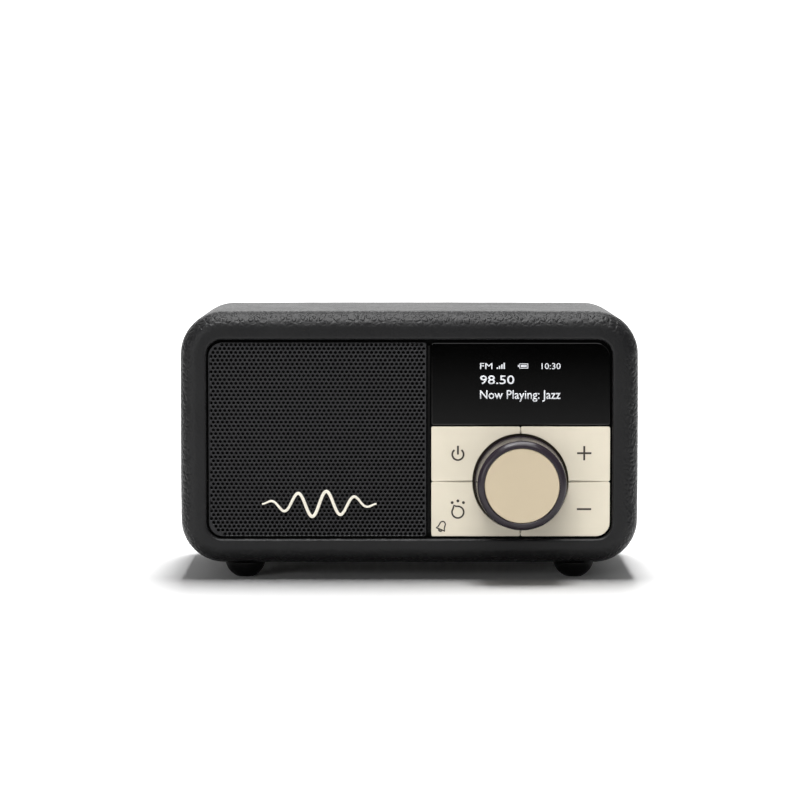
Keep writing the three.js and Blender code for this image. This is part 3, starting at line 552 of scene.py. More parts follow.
def turned(name, profile, centre, axis="y", segments=96, sharp=35.0):
    """A profile of (radius, place along the axis) spun once round an axis through a centre: at angle a, the
    point is centre + radius * (cos a, sin a) across the axis. A closed profile ends where it starts."""
    profile = np.asarray(profile, float)
    closed = bool(np.allclose(profile[0], profile[-1]))
    if closed:
        profile = profile[:-1]
    angle = np.linspace(0, 2 * math.pi, segments, endpoint=False)
    across = profile[:, 0][:, None] * np.cos(angle)
    over = profile[:, 0][:, None] * np.sin(angle)
    along = np.broadcast_to(profile[:, 1][:, None], across.shape)
    order = {"x": [along, across, over], "y": [across, along, over], "z": [across, over, along]}[axis]
    return net(name, np.stack(order, axis=-1) + np.asarray(centre, float), closed, True, sharp)


FOOT_SPHERE = 6.74
FOOT_SPHERE_Z = 6.17
foot_rubber = mottled("foot_rubber", (0.002, 0.002, 0.002), 0.5, 3.0, 0.15, 0.06, specular=0.15)
add_grain(foot_rubber, 0.3, 0.012)

dome_height = np.linspace(0.0, case_low[2] - 0.02, 22)
dome = np.stack([np.sqrt(FOOT_SPHERE**2 - (dome_height - FOOT_SPHERE_Z) ** 2), dome_height], axis=1)
stem_top = box_mm("foot_front_left")[1][2]
barb = stem_top - 1.3
foot_profile = np.concatenate(
    [
        [[0.0, 0.25], [1.6, 0.25], [1.9, 0.05], [2.2, 0.0]],
        dome,
        [[2.0, case_low[2] - 0.02], [2.0, barb], [2.9, barb], [1.4, stem_top], [0.0, stem_top]],
    ]
)
for side in ("front_left", "front_right", "rear_left", "rear_right"):
    low, high = box_mm(f"foot_{side}")
    place = [(low[0] + high[0]) / 2, (low[1] + high[1]) / 2, 0.0]
    foot = turned(f"rubber_foot_{side}", foot_profile, place, "z", 64)
    fit(foot, "radio", "rubber", foot_rubber, f"foot_{side}")

# ---------------------------------------------------------------------------------------------
# Speaker grille: a pressed steel sheet with staggered round holes and a turned-back edge, painted
# near black. It drops into the baffle's seat.

HOLE = 1.07
PITCH = 1.48
ROW = 1.269
SHEET = 0.6
GRILLE_EDGE = 0.12
grille_low, grille_high = box_mm("speaker_grille")
OPENING_CORNER = 4.6
# Longer than any side, so that a straight side isn't split.
WHOLE_SIDE = 200.0
HOLE_GAP = 0.04

grille_radii = [0.6, 0.6, OPENING_CORNER, OPENING_CORNER]


def grille_outline(inset):
    """The grille's outline, drawn in by an inset, with the same number of points each time."""
    left, right = grille_low[0] + inset, grille_high[0] - inset
    bottom, top = grille_low[2] + inset, grille_high[2] - inset
    radii = [max(r - inset, 0.05) for r in grille_radii]
    return rounded_box(left, right, bottom, top, radii, 8, WHOLE_SIDE)


def inside_rounded(x, z, margin):
    """True where a point is at least a margin inside the grille's outline."""
    left, right = grille_low[0] + margin, grille_high[0] - margin
    bottom, top = grille_low[2] + margin, grille_high[2] - margin
    radius = OPENING_CORNER - margin
    past_side = np.minimum(x - (left + radius), 0)
    past_height = np.maximum(np.abs(z - (bottom + top) / 2) - ((top - bottom) / 2 - radius), 0)
    over = np.hypot(past_side, past_height)
    return (x >= left) & (x <= right) & (z >= bottom) & (z <= top) & (over <= radius)


def hole_places(margin_low, margin_high):
    """The centres of the staggered holes whose distance inside the outline is between the two margins."""
    column = np.arange(-60, 61)[None, :]
    row = np.arange(-40, 41)[:, None]
    x = ((grille_low[0] + grille_high[0]) / 2 + (column + 0.5 * (row % 2)) * PITCH + 0 * row).ravel()
    z = ((grille_low[2] + grille_high[2]) / 2 + (row + 0.5) * ROW + 0 * column).ravel()
    keep = inside_rounded(x, z, margin_low) & ~inside_rounded(x, z, margin_high)
    return np.stack([x[keep], z[keep]], axis=1)


CELL_REACH = (PITCH**2 / 4 + ROW**2) / (2 * ROW)
turn = np.radians(90 - 30 * np.arange(12))
hole_rim = HOLE / 2 * np.stack([np.cos(turn), np.sin(turn)], axis=1)


def perforated_cells():
    """A hole away from the edge has a six-sided cell, whose corners are as far from their three nearest holes.
    The cell is filled between its corners and the hole's twelve-sided edge."""
    middles = hole_places(CELL_REACH + GRILLE_EDGE + HOLE_GAP, 1e3)
    half, short = PITCH / 2, ROW - CELL_REACH
    tall = CELL_REACH
    corners = np.array([[0, tall], [half, short], [half, -short], [0, -tall], [-half, -short], [-half, short]])
    points = middles[:, None, :] + np.concatenate([corners, hole_rim])[None, :, :]
    side = np.arange(6)
    after = (side + 1) % 6
    rim_a, rim_b, rim_c = 6 + 2 * side, 7 + 2 * side, 6 + (2 * side + 2) % 12
    cell = np.concatenate(
        [
            np.stack([side, after, rim_b], axis=1),
            np.stack([side, rim_b, rim_a], axis=1),
            np.stack([after, rim_c, rim_b], axis=1),
        ]
    )
    faces = cell[None, :, :] + (18 * np.arange(len(middles)))[:, None, None]
    return points.reshape(-1, 2), faces.reshape(-1, 3), np.tile(np.arange(18) < 6, len(middles))


flat_points, flat_faces, is_corner = perforated_cells()
sheet_work = bmesh.new()
sheet_mesh = bpy.data.meshes.new("perforated_grille")
sheet_xyz = np.stack([flat_points[:, 0], np.full(len(flat_points), grille_low[1]), flat_points[:, 1]], axis=1)
sheet_mesh.from_pydata((sheet_xyz * MM).tolist(), [], flat_faces.tolist())
corner_mark = sheet_mesh.attributes.new("cell_corner", "BOOLEAN", "POINT")
corner_mark.data.foreach_set("value", is_corner)
sheet_work.from_mesh(sheet_mesh)
bmesh.ops.remove_doubles(sheet_work, verts=sheet_work.verts, dist=2e-6)
mark = sheet_work.verts.layers.bool.get("cell_corner")
ragged = [e for e in sheet_work.edges if e.is_boundary and e.verts[0][mark] and e.verts[1][mark]]


def loose_ring(outline, y):
    """A closed ring of loose points and edges on the sheet."""
    ring = [sheet_work.verts.new((p[0] * MM, y * MM, p[1] * MM)) for p in outline]
    return ring, [sheet_work.edges.new((a, b)) for a, b in zip(ring, ring[1:] + ring[:1])]


# The holes near the edge are rings in the margin, which is filled between them.
rim_margin = HOLE / 2 + GRILLE_EDGE + HOLE_GAP
cell_margin = CELL_REACH + GRILLE_EDGE + HOLE_GAP
for middle in hole_places(rim_margin, cell_margin):
    ragged += loose_ring(middle + hole_rim, grille_low[1])[1]

edge_turn = np.radians(np.linspace(0, 90, 6))
edge_rows = [(GRILLE_EDGE * (1 - math.sin(a)), GRILLE_EDGE * (1 - math.cos(a))) for a in edge_turn]
edge_rows.append((0.0, grille_high[1] - grille_low[1]))
first_ring, outline_edges = loose_ring(grille_outline(GRILLE_EDGE), grille_low[1])
bmesh.ops.triangle_fill(sheet_work, edges=ragged + outline_edges, use_beauty=True, normal=(0.0, -1.0, 0.0))
loops = [first_ring]
for inset, back in edge_rows[1:]:
    depth = (grille_low[1] + back) * MM
    loops.append([sheet_work.verts.new((p[0] * MM, depth, p[1] * MM)) for p in grille_outline(inset)])
for upper, lower in zip(loops, loops[1:]):
    for k in range(len(upper)):
        after = (k + 1) % len(upper)
        sheet_work.faces.new((upper[k], upper[after], lower[after], lower[k]))
bmesh.ops.recalc_face_normals(sheet_work, faces=sheet_work.faces)
front_facing = sum(f.normal.y * f.calc_area() for f in sheet_work.faces)
if front_facing > 0:
    bmesh.ops.reverse_faces(sheet_work, faces=sheet_work.faces)
sheet_work.to_mesh(sheet_mesh)
sheet_work.free()
sheet_mesh.attributes.remove(sheet_mesh.attributes["cell_corner"])
sheet_mesh.polygons.foreach_set("use_smooth", np.ones(len(sheet_mesh.polygons), bool))
sheet_mesh.set_sharp_from_angle(angle=math.radians(35))

GRILLE_COLOUR = (0.0185, 0.0185, 0.02)
grille_paint = finish("grille_paint", GRILLE_COLOUR, 0.42, specular=0.25)
add_mottle(grille_paint, GRILLE_COLOUR, 1.1, 0.18, 0.45, 0.1)
add_grain(grille_paint, 0.22, 0.02)
grille = fit(sheet_mesh, "radio", "grille_paint", grille_paint, "speaker_grille")
thickness = grille.modifiers.new("sheet", "SOLIDIFY")
thickness.thickness = SHEET * MM
thickness.offset = -1.0

# ---------------------------------------------------------------------------------------------
# Acoustic cloth: thin black woven polyester, glued to the back of the grille so that dust stays out and the
# loudspeaker doesn't show through the holes.
CLOTH_GAP = 0.15
weave_black = finish("weave_black", (0.0022, 0.0022, 0.0022), 0.95, specular=0.1)
add_mottle(weave_black, (0.0022, 0.0022, 0.0022), 2.0, 0.2, 0.93, 0.05)
for slant in (45.0, -45.0):
    thread = node_in(weave_black, "ShaderNodeTexWave", Scale=1.0)
    lay = node_in(weave_black, "ShaderNodeMapping")
    lay.inputs["Rotation"].default_value = (0.0, math.radians(slant), 0.0)
    weave_black.node_tree.links.new(pattern_place(weave_black, 1.0), lay.inputs["Vector"])
    weave_black.node_tree.links.new(lay.outputs["Vector"], thread.inputs["Vector"])
    add_bump(weave_black, thread.outputs["Fac"], 0.03)
cloth_front = grille_low[1] + SHEET + CLOTH_GAP
cloth_outline = grille_outline(1.1)
cloth_back = cloth_front + 0.25
cloth_rings = [(0.995, cloth_front), (1.0, cloth_front + 0.05), (1.0, cloth_front + 0.2), (0.995, cloth_back)]
cloth_middle = cloth_outline.mean(axis=0)
cloth_rows = []
for share, y in [(0.0, cloth_front), *cloth_rings, (0.0, cloth_back)]:
    ring = cloth_middle + share * (cloth_outline - cloth_middle)
    cloth_rows.append(np.stack([ring[:, 0], np.full(len(ring), y), ring[:, 1]], axis=1))
fit(net("acoustic_cloth", np.stack(cloth_rows), False, True), "radio", "foam", weave_black)

# ---------------------------------------------------------------------------------------------
# Emblem: a swelling and fading wave line, cut from sheet, enamelled cream and pinned to the grille.


def inked(name, line, half_width, y_front, y_back, rounding=0.0):
    """A strip carried along a line of (x, z) points: across the line it is a flat bar with rounded shoulders,
    half_width each side of the line. half_width is one number or one for each point."""
    line = np.asarray(line, float)
    step = np.gradient(line, axis=0)
    step /= np.linalg.norm(step, axis=1)[:, None]
    across = np.stack([-step[:, 1], step[:, 0]], axis=1)
    half = np.broadcast_to(half_width, len(line))
    shoulder = [(1.0, y_back, 0.0), (1.0, y_front + rounding, 0.0), (1.0, y_front, rounding)]
    bar = shoulder + [(-s, y, r) for s, y, r in shoulder[::-1]]
    rows = []
    for sign, y, inwards in bar:
        moved = line + across * (sign * np.maximum(half - inwards, 0.02))[:, None]
        rows.append(np.stack([moved[:, 0], np.full(len(line), y), moved[:, 1]], axis=1))
    rows = np.stack(rows)
    count, along = rows.shape[:2]
    i, j = np.arange(count)[:, None], np.arange(along - 1)[None, :]
    after = (i + 1) % count
    quads = np.stack([i * along + j, i * along + j + 1, after * along + j + 1, after * along + j], axis=-1)
    caps = [list(range(0, count * along, along)), list(range(along - 1, count * along, along))]
    mesh = bpy.data.meshes.new(name)
    mesh.from_pydata((rows.reshape(-1, 3) * MM).tolist(), [], quads.reshape(-1, 4).tolist() + caps)
    return tidied(mesh, 40.0)


badge_low, badge_high = box_mm("grille_badge")
badge_turn = np.linspace(0, 1, 241)
badge_swell = np.sin(math.pi * badge_turn)
BADGE_WAVES = 4
badge_half = 0.28 + 0.24 * badge_swell
badge_reach = (badge_high[2] - badge_low[2]) / 2 - badge_half.max()
badge_wave = badge_reach * badge_swell * np.sin(2 * math.pi * BADGE_WAVES * badge_turn)
badge_line = np.stack(
    [
        badge_low[0] + 0.3 + (badge_high[0] - badge_low[0] - 0.6) * badge_turn,
        (badge_low[2] + badge_high[2]) / 2 + badge_wave,
    ],
    axis=1,
)
# A near-black strip a little wider than the emblem stands behind it: painted shadow round the emblem's edge.
badge_shadow_strip = mottled("badge_shadow_strip", (0.004, 0.004, 0.004), 0.7, 1.5, 0.2, 0.05)
shadow_strip_front = badge_high[1] - 0.2
shadow_strip = inked("emblem_shadow_strip", badge_line, badge_half + 0.3, shadow_strip_front, badge_high[1], 0.0)
fit(shadow_strip, "radio", "foam", badge_shadow_strip)
badge_enamel = mottled("badge_enamel", (0.83, 0.79, 0.68), 0.3, 4.0, 0.04, 0.05, coat=0.4)
add_grain(badge_enamel, 0.4, 0.008)
fit(
    inked("wave_emblem", badge_line, badge_half, badge_low[1], shadow_strip_front, 0.12),
    "radio",
    "badge_enamel",
    badge_enamel,
    "grille_badge",
)

# ---------------------------------------------------------------------------------------------
# Display: a polished black acrylic window with a softened edge, and what the lit display shows
# through it. The words and figures are plain ones.


def lofted_plate(name, outline, y_front, y_back, edge, corner_steps=5):
    """A flat plate whose front edge is rounded by a quarter circle: at angle a the outline moves in by
    edge * (1 - sin a) and forward by edge * (1 - cos a). One ring more keeps the middle of the face flat."""
    step = np.roll(outline, -1, axis=0) - np.roll(outline, 1, axis=0)
    step /= np.linalg.norm(step, axis=1)[:, None]
    inwards = np.stack([-step[:, 1], step[:, 0]], axis=1)
    turn = np.radians(np.linspace(0, 90, corner_steps + 1))
    rows = [(edge + 0.06, y_front)]
    rows += [(edge * (1 - math.sin(a)), y_front + edge * (1 - math.cos(a))) for a in turn]
    rows.append((0.0, y_back))
    rings = []
    for inset, y in rows:
        moved = outline + inwards * inset
        rings.append(np.stack([moved[:, 0], np.full(len(moved), y), moved[:, 1]], axis=1))
    points = np.concatenate(rings)
    around = len(outline)
    i, j = np.arange(len(rows) - 1)[:, None] * around, np.arange(around)[None, :]
    after = (j + 1) % around
    quads = np.stack([i + j, i + after, i + around + after, i + around + j], axis=-1)
    caps = [list(range(around)), list(range(around * (len(rows) - 1), around * len(rows)))]
    mesh = bpy.data.meshes.new(name)
    mesh.from_pydata((points * MM).tolist(), [], quads.reshape(-1, 4).tolist() + caps)
    return tidied(mesh, 40.0)


window_low, window_high = box_mm("display_window")
window_radii = [0.7, OPENING_CORNER, 0.7, 0.7]
window_outline = rounded_box(
    window_low[0], window_high[0], window_low[2], window_high[2], window_radii, 10, WHOLE_SIDE
)
acrylic = mottled("black_acrylic", (0.0006, 0.0006, 0.0006), 0.06, 30.0, 0.1, 0.01)
add_grain(acrylic, 12.0, 0.004)
fit(
    lofted_plate("acrylic_window", window_outline, window_low[1], window_high[1], 0.35),
    "radio",
    "window_acrylic",
    acrylic,
    "display_window",
)

lit = finish("lit_pixels", (0.55, 0.56, 0.58), 0.4)
lit_shader = lit.node_tree.nodes["Principled BSDF"]
lit_shader.inputs["Emission Color"].default_value = (0.92, 0.95, 1.0, 1.0)
lit_shader.inputs["Emission Strength"].default_value = 0.27
add_mottle(lit, (0.55, 0.56, 0.58), 0.35, 0.1, 0.4, 0.02)
FILM = 0.03
lit_y = window_low[1] - FILM


def lit_words(name, words, left, baseline, height, width, bold):
    """Words as flat film on the window. They are scaled so that a capital has the given height and the whole
    line has the given width, and thickened by bold."""
    curve = bpy.data.curves.new(name, "FONT")
    curve.body = words
    curve.size = 1.0
    curve.offset = bold
    curve.resolution_u = 3
    text = bpy.data.objects.new(name, curve)
    bpy.context.scene.collection.objects.link(text)
    bpy.context.view_layer.update()
    flat = bpy.data.meshes.new_from_object(text.evaluated_get(bpy.context.evaluated_depsgraph_get()))
    bpy.data.objects.remove(text)
    at = np.zeros(len(flat.vertices) * 3)
    flat.vertices.foreach_get("co", at)
    at = at.reshape(-1, 3)
    tall = 0.73
    across = (at[:, 0] - at[:, 0].min()) / (at[:, 0].max() - at[:, 0].min()) * width + left
    up = at[:, 1] / tall * height + baseline
    placed = np.stack([across, np.full(len(at), lit_y), up], axis=1) * MM
    flat.vertices.foreach_set("co", placed.ravel())
    work = bmesh.new()
    work.from_mesh(flat)
    bmesh.ops.remove_doubles(work, verts=work.verts, dist=1e-7)
    grown = bmesh.ops.extrude_face_region(work, geom=work.faces[:])
    raised = [v for v in grown["geom"] if isinstance(v, bmesh.types.BMVert)]
    bmesh.ops.translate(work, verts=raised, vec=(0.0, (FILM - 0.005) * MM, 0.0))
    bmesh.ops.recalc_face_normals(work, faces=work.faces)
    if work.calc_volume(signed=True) < 0:
        bmesh.ops.reverse_faces(work, faces=work.faces)
    work.to_mesh(flat)
    work.free()
    flat.name = name
    return fit(flat, "radio", "display_glass", lit)


display_low, display_high = box_mm("display_module")
show_left = (display_low[0] + display_high[0]) / 2 - 13.0
show_middle = (display_low[2] + display_high[2]) / 2
lit_words("display_band", "FM", show_left, show_middle + 3.95, 2.1, 4.0, 0.0)
lit_words("display_clock", "10:30", show_left + 20.1, show_middle + 3.95, 2.05, 6.2, 0.0)
lit_words("display_station", "98.50", show_left, show_middle - 0.95, 2.95, 11.2, 0.008)
lit_words("display_line", "Now Playing: Jazz", show_left, show_middle - 5.8, 3.0, 26.3, 0.006)


def slabs(name, boxes, y_front, y_back):
    """Small upright blocks, each given as left, right, bottom and top, joined in one mesh."""
    left, right, bottom, top = np.array(boxes, float).T
    front, back = np.full(len(left), y_front), np.full(len(left), y_back)
    corners = [
        np.stack(corner, axis=1)
        for y in (front, back)
        for corner in ((left, y, bottom), (right, y, bottom), (right, y, top), (left, y, top))
    ]
    sides = np.array([(0, 1, 2, 3), (7, 6, 5, 4), (0, 4, 5, 1), (1, 5, 6, 2), (2, 6, 7, 3), (3, 7, 4, 0)])
    faces = sides[None, :, :] + 8 * np.arange(len(left))[:, None, None]
    return shell(name, np.stack(corners, axis=1).reshape(-1, 3), faces.reshape(-1, 4))


lit_back = lit_y + FILM - 0.005
bars_left = show_left + 5.4
bars_foot = show_middle + 4.0
BAR_STEP = 0.75
signal = [
    (bars_left + BAR_STEP * k, bars_left + BAR_STEP * k + 0.45, bars_foot, bars_foot + 0.5 + 0.5 * k)
    for k in range(4)
]
fit(slabs("display_signal", signal, lit_y, lit_back), "radio", "display_glass", lit)
cell_left, cell_right = show_left + 12.8, show_left + 15.7
cell_foot, cell_top = show_middle + 4.15, show_middle + 5.75
LINE = 0.2
battery = [
    (cell_left, cell_right, cell_foot, cell_foot + LINE),
    (cell_left, cell_right, cell_top - LINE, cell_top),
    (cell_left, cell_left + LINE, cell_foot + LINE, cell_top - LINE),
    (cell_right - LINE, cell_right, cell_foot + LINE, cell_top - LINE),
    (cell_left + 0.5, cell_right - 0.5, cell_foot + 0.5, cell_top - 0.5),
    (cell_left - 0.45, cell_left - 0.1, cell_foot + 0.5, cell_top - 0.5),
]
fit(slabs("display_battery", battery, lit_y, lit_back), "radio", "display_glass", lit)
dress(acrylic, "display_module")

# ---------------------------------------------------------------------------------------------
# Keys: four satin cream ABS quarters round the dial, printed with thin dark brown symbols, over a
# pale backing with a ring of painted shade round the dial, with thin ribs standing in the slits.

DIAL_LOW, DIAL_HIGH = box_mm("knob_body")
DIAL_X = (DIAL_LOW[0] + DIAL_HIGH[0]) / 2
DIAL_Z = (DIAL_LOW[2] + DIAL_HIGH[2]) / 2
KEY_HOLE = 15.75
KEY_EDGE = 0.1
KEY_CORNER = 0.55
PRINT = 0.03

CREAM = (0.715, 0.655, 0.53)
cream_abs = moulding("cream_abs", CREAM, 0.36, 0.3, 0.01)
print_ink = mottled("print_ink", (0.03, 0.021, 0.014), 0.5, 0.6, 0.12, 0.05)
backing_abs = moulding("backing_abs", (0.42, 0.34, 0.2), 0.5)
backing_shader = backing_abs.node_tree.nodes["Principled BSDF"]
backing_tint = backing_shader.inputs["Base Color"].links[0].from_socket
# Inside the keys' hole round the dial the backing turns dark olive: painted shade in the gap between the dial
# and the keys.
dial_axis = node_in(backing_abs, "ShaderNodeVectorMath")
dial_axis.operation = "DISTANCE"
dial_axis.inputs[1].default_value = (DIAL_X * MM, 0.0, DIAL_Z * MM)
flat_place = node_in(backing_abs, "ShaderNodeVectorMath")
flat_place.operation = "MULTIPLY"
flat_place.inputs[1].default_value = (1.0, 0.0, 1.0)
painted_shade_ring = node_in(backing_abs, "ShaderNodeMapRange", From_Min=KEY_HOLE * MM, From_Max=(KEY_HOLE + 0.25) * MM)
painted_shade_mix = node_in(backing_abs, "ShaderNodeMix")
painted_shade_mix.data_type = "RGBA"
painted_shade_mix.inputs[6].default_value = (0.06, 0.042, 0.012, 1.0)
backing_links = backing_abs.node_tree.links
backing_links.new(node_in(backing_abs, "ShaderNodeTexCoord").outputs["Object"], flat_place.inputs[0])
backing_links.new(flat_place.outputs["Vector"], dial_axis.inputs[0])
backing_links.new(dial_axis.outputs["Value"], painted_shade_ring.inputs["Value"])
backing_links.new(painted_shade_ring.outputs["Result"], painted_shade_mix.inputs["Factor"])
backing_links.new(backing_tint, painted_shade_mix.inputs[7])
backing_links.new(painted_shade_mix.outputs[2], backing_shader.inputs["Base Color"])
dress(backing_abs, "key_backing")


def key_outline(low, high, sx, sz, outer_corner):
    """A rectangle whose corner next to the dial is cut by a circle round the dial's axis. It is worked out for
    the top right key and mirrored: sx and sz are the sides of the dial on which the key lies."""
    near_x, far_x = sorted([abs(low[0] - DIAL_X), abs(high[0] - DIAL_X)])
    near_z, far_z = sorted([abs(low[2] - DIAL_Z), abs(high[2] - DIAL_Z)])
    start = math.degrees(math.asin(near_z / KEY_HOLE))
    end = math.degrees(math.acos(near_x / KEY_HOLE))
    c = KEY_CORNER
    run = [
        arc(far_x - c, near_z + c, c, -90, 0, 4),
        arc(far_x - outer_corner, far_z - outer_corner, outer_corner, 0, 90, 10),
        arc(near_x + c, far_z - c, c, 90, 180, 4),
        arc(0, 0, KEY_HOLE, end - 0.8, start + 0.8, 60),
    ]
    outline = np.concatenate(run) * [sx, sz]
    if sx * sz < 0:
        outline = outline[::-1]
    return outline + [DIAL_X, DIAL_Z]


keys = {
    "power": (-1, 1),
    "source": (-1, -1),
    "volume_up": (1, 1),
    "volume_down": (1, -1),
}
key_face = box_mm("key_power")[0][1]
print_back = key_face - 0.004
print_front = key_face - PRINT
for key, (sx, sz) in keys.items():
    low, high = box_mm(f"key_{key}")
    outer = OPENING_CORNER if key == "volume_down" else KEY_CORNER
    outline = key_outline(low, high, sx, sz, outer)
    mesh = lofted_plate(f"{key}_keytop", outline, low[1], low[1] + 2.0, KEY_EDGE, 4)
    fit(mesh, f"{key}_key", "cream_plastic", cream_abs, f"key_{key}")


# Thin cream ribs on the backing stand in the slits, a little below the keys' faces.
panel_low, panel_high = box_mm("key_source")[0], box_mm("key_volume_up")[1]
ribs = [
    (panel_low[0] + 0.6, DIAL_X - KEY_HOLE - 0.1, DIAL_Z - 0.06, DIAL_Z + 0.06),
    (DIAL_X + KEY_HOLE + 0.1, panel_high[0] - 0.6, DIAL_Z - 0.06, DIAL_Z + 0.06),
    (DIAL_X - 0.06, DIAL_X + 0.06, panel_low[2] + 0.6, DIAL_Z - KEY_HOLE - 0.1),
    (DIAL_X - 0.06, DIAL_X + 0.06, DIAL_Z + KEY_HOLE + 0.1, panel_high[2] - 0.6),
]
rib_mesh = slabs("slit_ribs", ribs, key_face + 0.15, box_mm("key_backing")[0][1] - 0.005)
fit(rib_mesh, "radio", "cream_plastic", cream_abs)


def printed(name, body, line, width=0.5):
    """One printed stroke on a key's face."""
    fit(inked(name, line, width / 2, print_front, print_back), body, "cream_plastic", print_ink)


def dot(name, body, x, z, radius):
    """One printed dot on a key's face."""
    edge = [[0, print_front], [radius, print_front], [radius, print_back], [0, print_back]]
    fit(turned(name, edge, [x, 0, z], "y", 24), body, "cream_plastic", print_ink)


left_x, right_x = DIAL_X - 20.5, DIAL_X + 20.85
upper_z, lower_z = DIAL_Z + 8.95, DIAL_Z - 10.05
sign_up, sign_down = DIAL_Z + 9.35, DIAL_Z - 9.05
printed("power_ring", "power_key", arc(left_x, upper_z, 1.85, 128, 412, 48), 0.6)
power_bar = np.linspace([left_x, upper_z + 2.85], [left_x, upper_z - 0.05], 3)
printed("power_bar", "power_key", power_bar, 0.62)
pointer = np.concatenate(
    [
        arc(left_x, lower_z, 1.92, 98, -212, 60),
        [[left_x - 1.45, lower_z + 1.55], [left_x - 1.3, lower_z + 2.25], [left_x - 0.7, lower_z + 1.95]],
        [[left_x - 0.27, lower_z + 1.9]],
    ]
)
printed("source_ring", "source_key", pointer, 0.56)
for k, (dx, dz) in enumerate([(-1.86, 3.15), (0.0, 3.7), (1.82, 3.15)]):
    dot(f"source_dot_{k + 1}", "source_key", left_x + dx, lower_z + dz, 0.48)
ARM = 2.35
plus_bar = [[right_x - ARM, sign_up], [right_x, sign_up], [right_x + ARM, sign_up]]
printed("plus_bar", "volume_up_key", plus_bar, 0.64)
for name, start, end in (("plus_top", 0.33, ARM), ("plus_foot", -ARM, -0.33)):
    post = [[right_x, sign_up + start], [right_x, sign_up + (start + end) / 2], [right_x, sign_up + end]]
    printed(name, "volume_up_key", post, 0.64)
minus_bar = [[right_x - ARM, sign_down], [right_x, sign_down], [right_x + ARM, sign_down]]
printed("minus_bar", "volume_down_key", minus_bar, 0.64)

BELL_TILT = math.radians(-22)
bell_x, bell_z = left_x - 5.3, DIAL_Z - 14.75
bell_side = np.array([[0.0, 1.75], [0.45, 1.6], [0.85, 1.15], [0.95, 0.4], [1.05, -0.35], [1.6, -1.05]])
bell = np.concatenate([bell_side, (bell_side * [-1, 1])[:0:-1], bell_side[:1]])
spin = np.array([[math.cos(BELL_TILT), math.sin(BELL_TILT)], [-math.sin(BELL_TILT), math.cos(BELL_TILT)]])
printed("bell_outline", "source_key", bell @ spin + [bell_x, bell_z], 0.42)
clapper = arc(0.0, -1.1, 0.55, 195, 345, 8)
printed("bell_clapper", "source_key", clapper @ spin + [bell_x, bell_z], 0.5)

# ---------------------------------------------------------------------------------------------
# Dial: a glossy dark brown knob with a slightly tapered side and a rounded shoulder, pushed on the
# encoder's shaft, and a satin champagne disc glued into the pocket in its face.

dial_front = DIAL_LOW[1]
cap_low, cap_high = box_mm("knob_cap")
CAP = (cap_high[0] - cap_low[0]) / 2
BASE = (DIAL_HIGH[0] - DIAL_LOW[0]) / 2
SHOULDER = 2.0
NOSE = 14.55
knob_profile = np.concatenate(
    [
        [[0.0, cap_high[1] + 0.05], [CAP + 0.05, cap_high[1] + 0.05], [CAP + 0.12, dial_front + 0.45]],
        arc(CAP + 0.4, dial_front + 0.28, 0.28, 180, 262, 5),
        arc(NOSE - SHOULDER, dial_front + SHOULDER, SHOULDER, -90, -4, 18),
        straight((NOSE, dial_front + SHOULDER), (BASE - 0.15, DIAL_HIGH[1] - 0.75), 10),
        arc(BASE - 0.35, DIAL_HIGH[1] - 0.6, 0.35, 0, 90, 4),
        [[13.7, DIAL_HIGH[1] - 0.3], [13.2, dial_front + 3.8]],
        [[5.2, dial_front + 3.8], [5.2, DIAL_HIGH[1] - 0.4]],
        [[3.15, DIAL_HIGH[1] - 0.4], [3.15, dial_front + 4.8], [0.0, dial_front + 4.8]],
    ]
)
dial_centre = [DIAL_X, 0.0, DIAL_Z]
DIAL_COLOUR = (0.021, 0.0155, 0.021)
dial_gloss = mottled("dial_gloss", DIAL_COLOUR, 0.22, 8.0, 0.06, 0.02, specular=0.38)
add_grain(dial_gloss, 1.5, 0.003)
knob = turned("dial_knob", knob_profile, dial_centre, "y", 160, 30.0)
fit(knob, "dial", "dial_plastic", dial_gloss, "knob_body")

cap_profile = np.concatenate(
    [
        [[0.0, cap_low[1]], [CAP - 0.5, cap_low[1]], [CAP - 0.35, cap_low[1]]],
        arc(CAP - 0.3, cap_low[1] + 0.3, 0.3, -90, 0, 5),
        [[CAP, cap_high[1]], [0.0, cap_high[1]]],
    ]
)
CHAMPAGNE = (0.565, 0.475, 0.335)
champagne = mottled("champagne_disc", CHAMPAGNE, 0.34, 10.0, 0.03, 0.04, metallic=0.25)
champagne_links = champagne.node_tree.links
spun_place = node_in(champagne, "ShaderNodeMapping")
spun_place.inputs["Location"].default_value = (-DIAL_X * MM, 0.0, -DIAL_Z * MM)
spun_coordinates = node_in(champagne, "ShaderNodeTexCoord")
champagne_links.new(spun_coordinates.outputs["Object"], spun_place.inputs["Vector"])
spun_flat = node_in(champagne, "ShaderNodeVectorMath")
spun_flat.operation = "MULTIPLY"
spun_flat.inputs[1].default_value = (1.0, 0.0, 1.0)
champagne_links.new(spun_place.outputs["Vector"], spun_flat.inputs[0])
spun_radius = node_in(champagne, "ShaderNodeVectorMath")
spun_radius.operation = "LENGTH"
champagne_links.new(spun_flat.outputs["Vector"], spun_radius.inputs[0])
spun_rings = node_in(champagne, "ShaderNodeTexNoise", Scale=9000.0, Detail=2.0)
spun_rings.noise_dimensions = "1D"
champagne_links.new(spun_radius.outputs["Value"], spun_rings.inputs["W"])
add_bump(champagne, spun_rings.outputs["Fac"], 0.004)
fit(turned("champagne_disc", cap_profile, dial_centre, "y", 128), "dial", "champagne", champagne, "knob_cap")

# ---------------------------------------------------------------------------------------------
# Controls behind the keys: a push encoder with a plated D-shaft, and four tact switches with tin
# lids, soldered to the front circuit board.

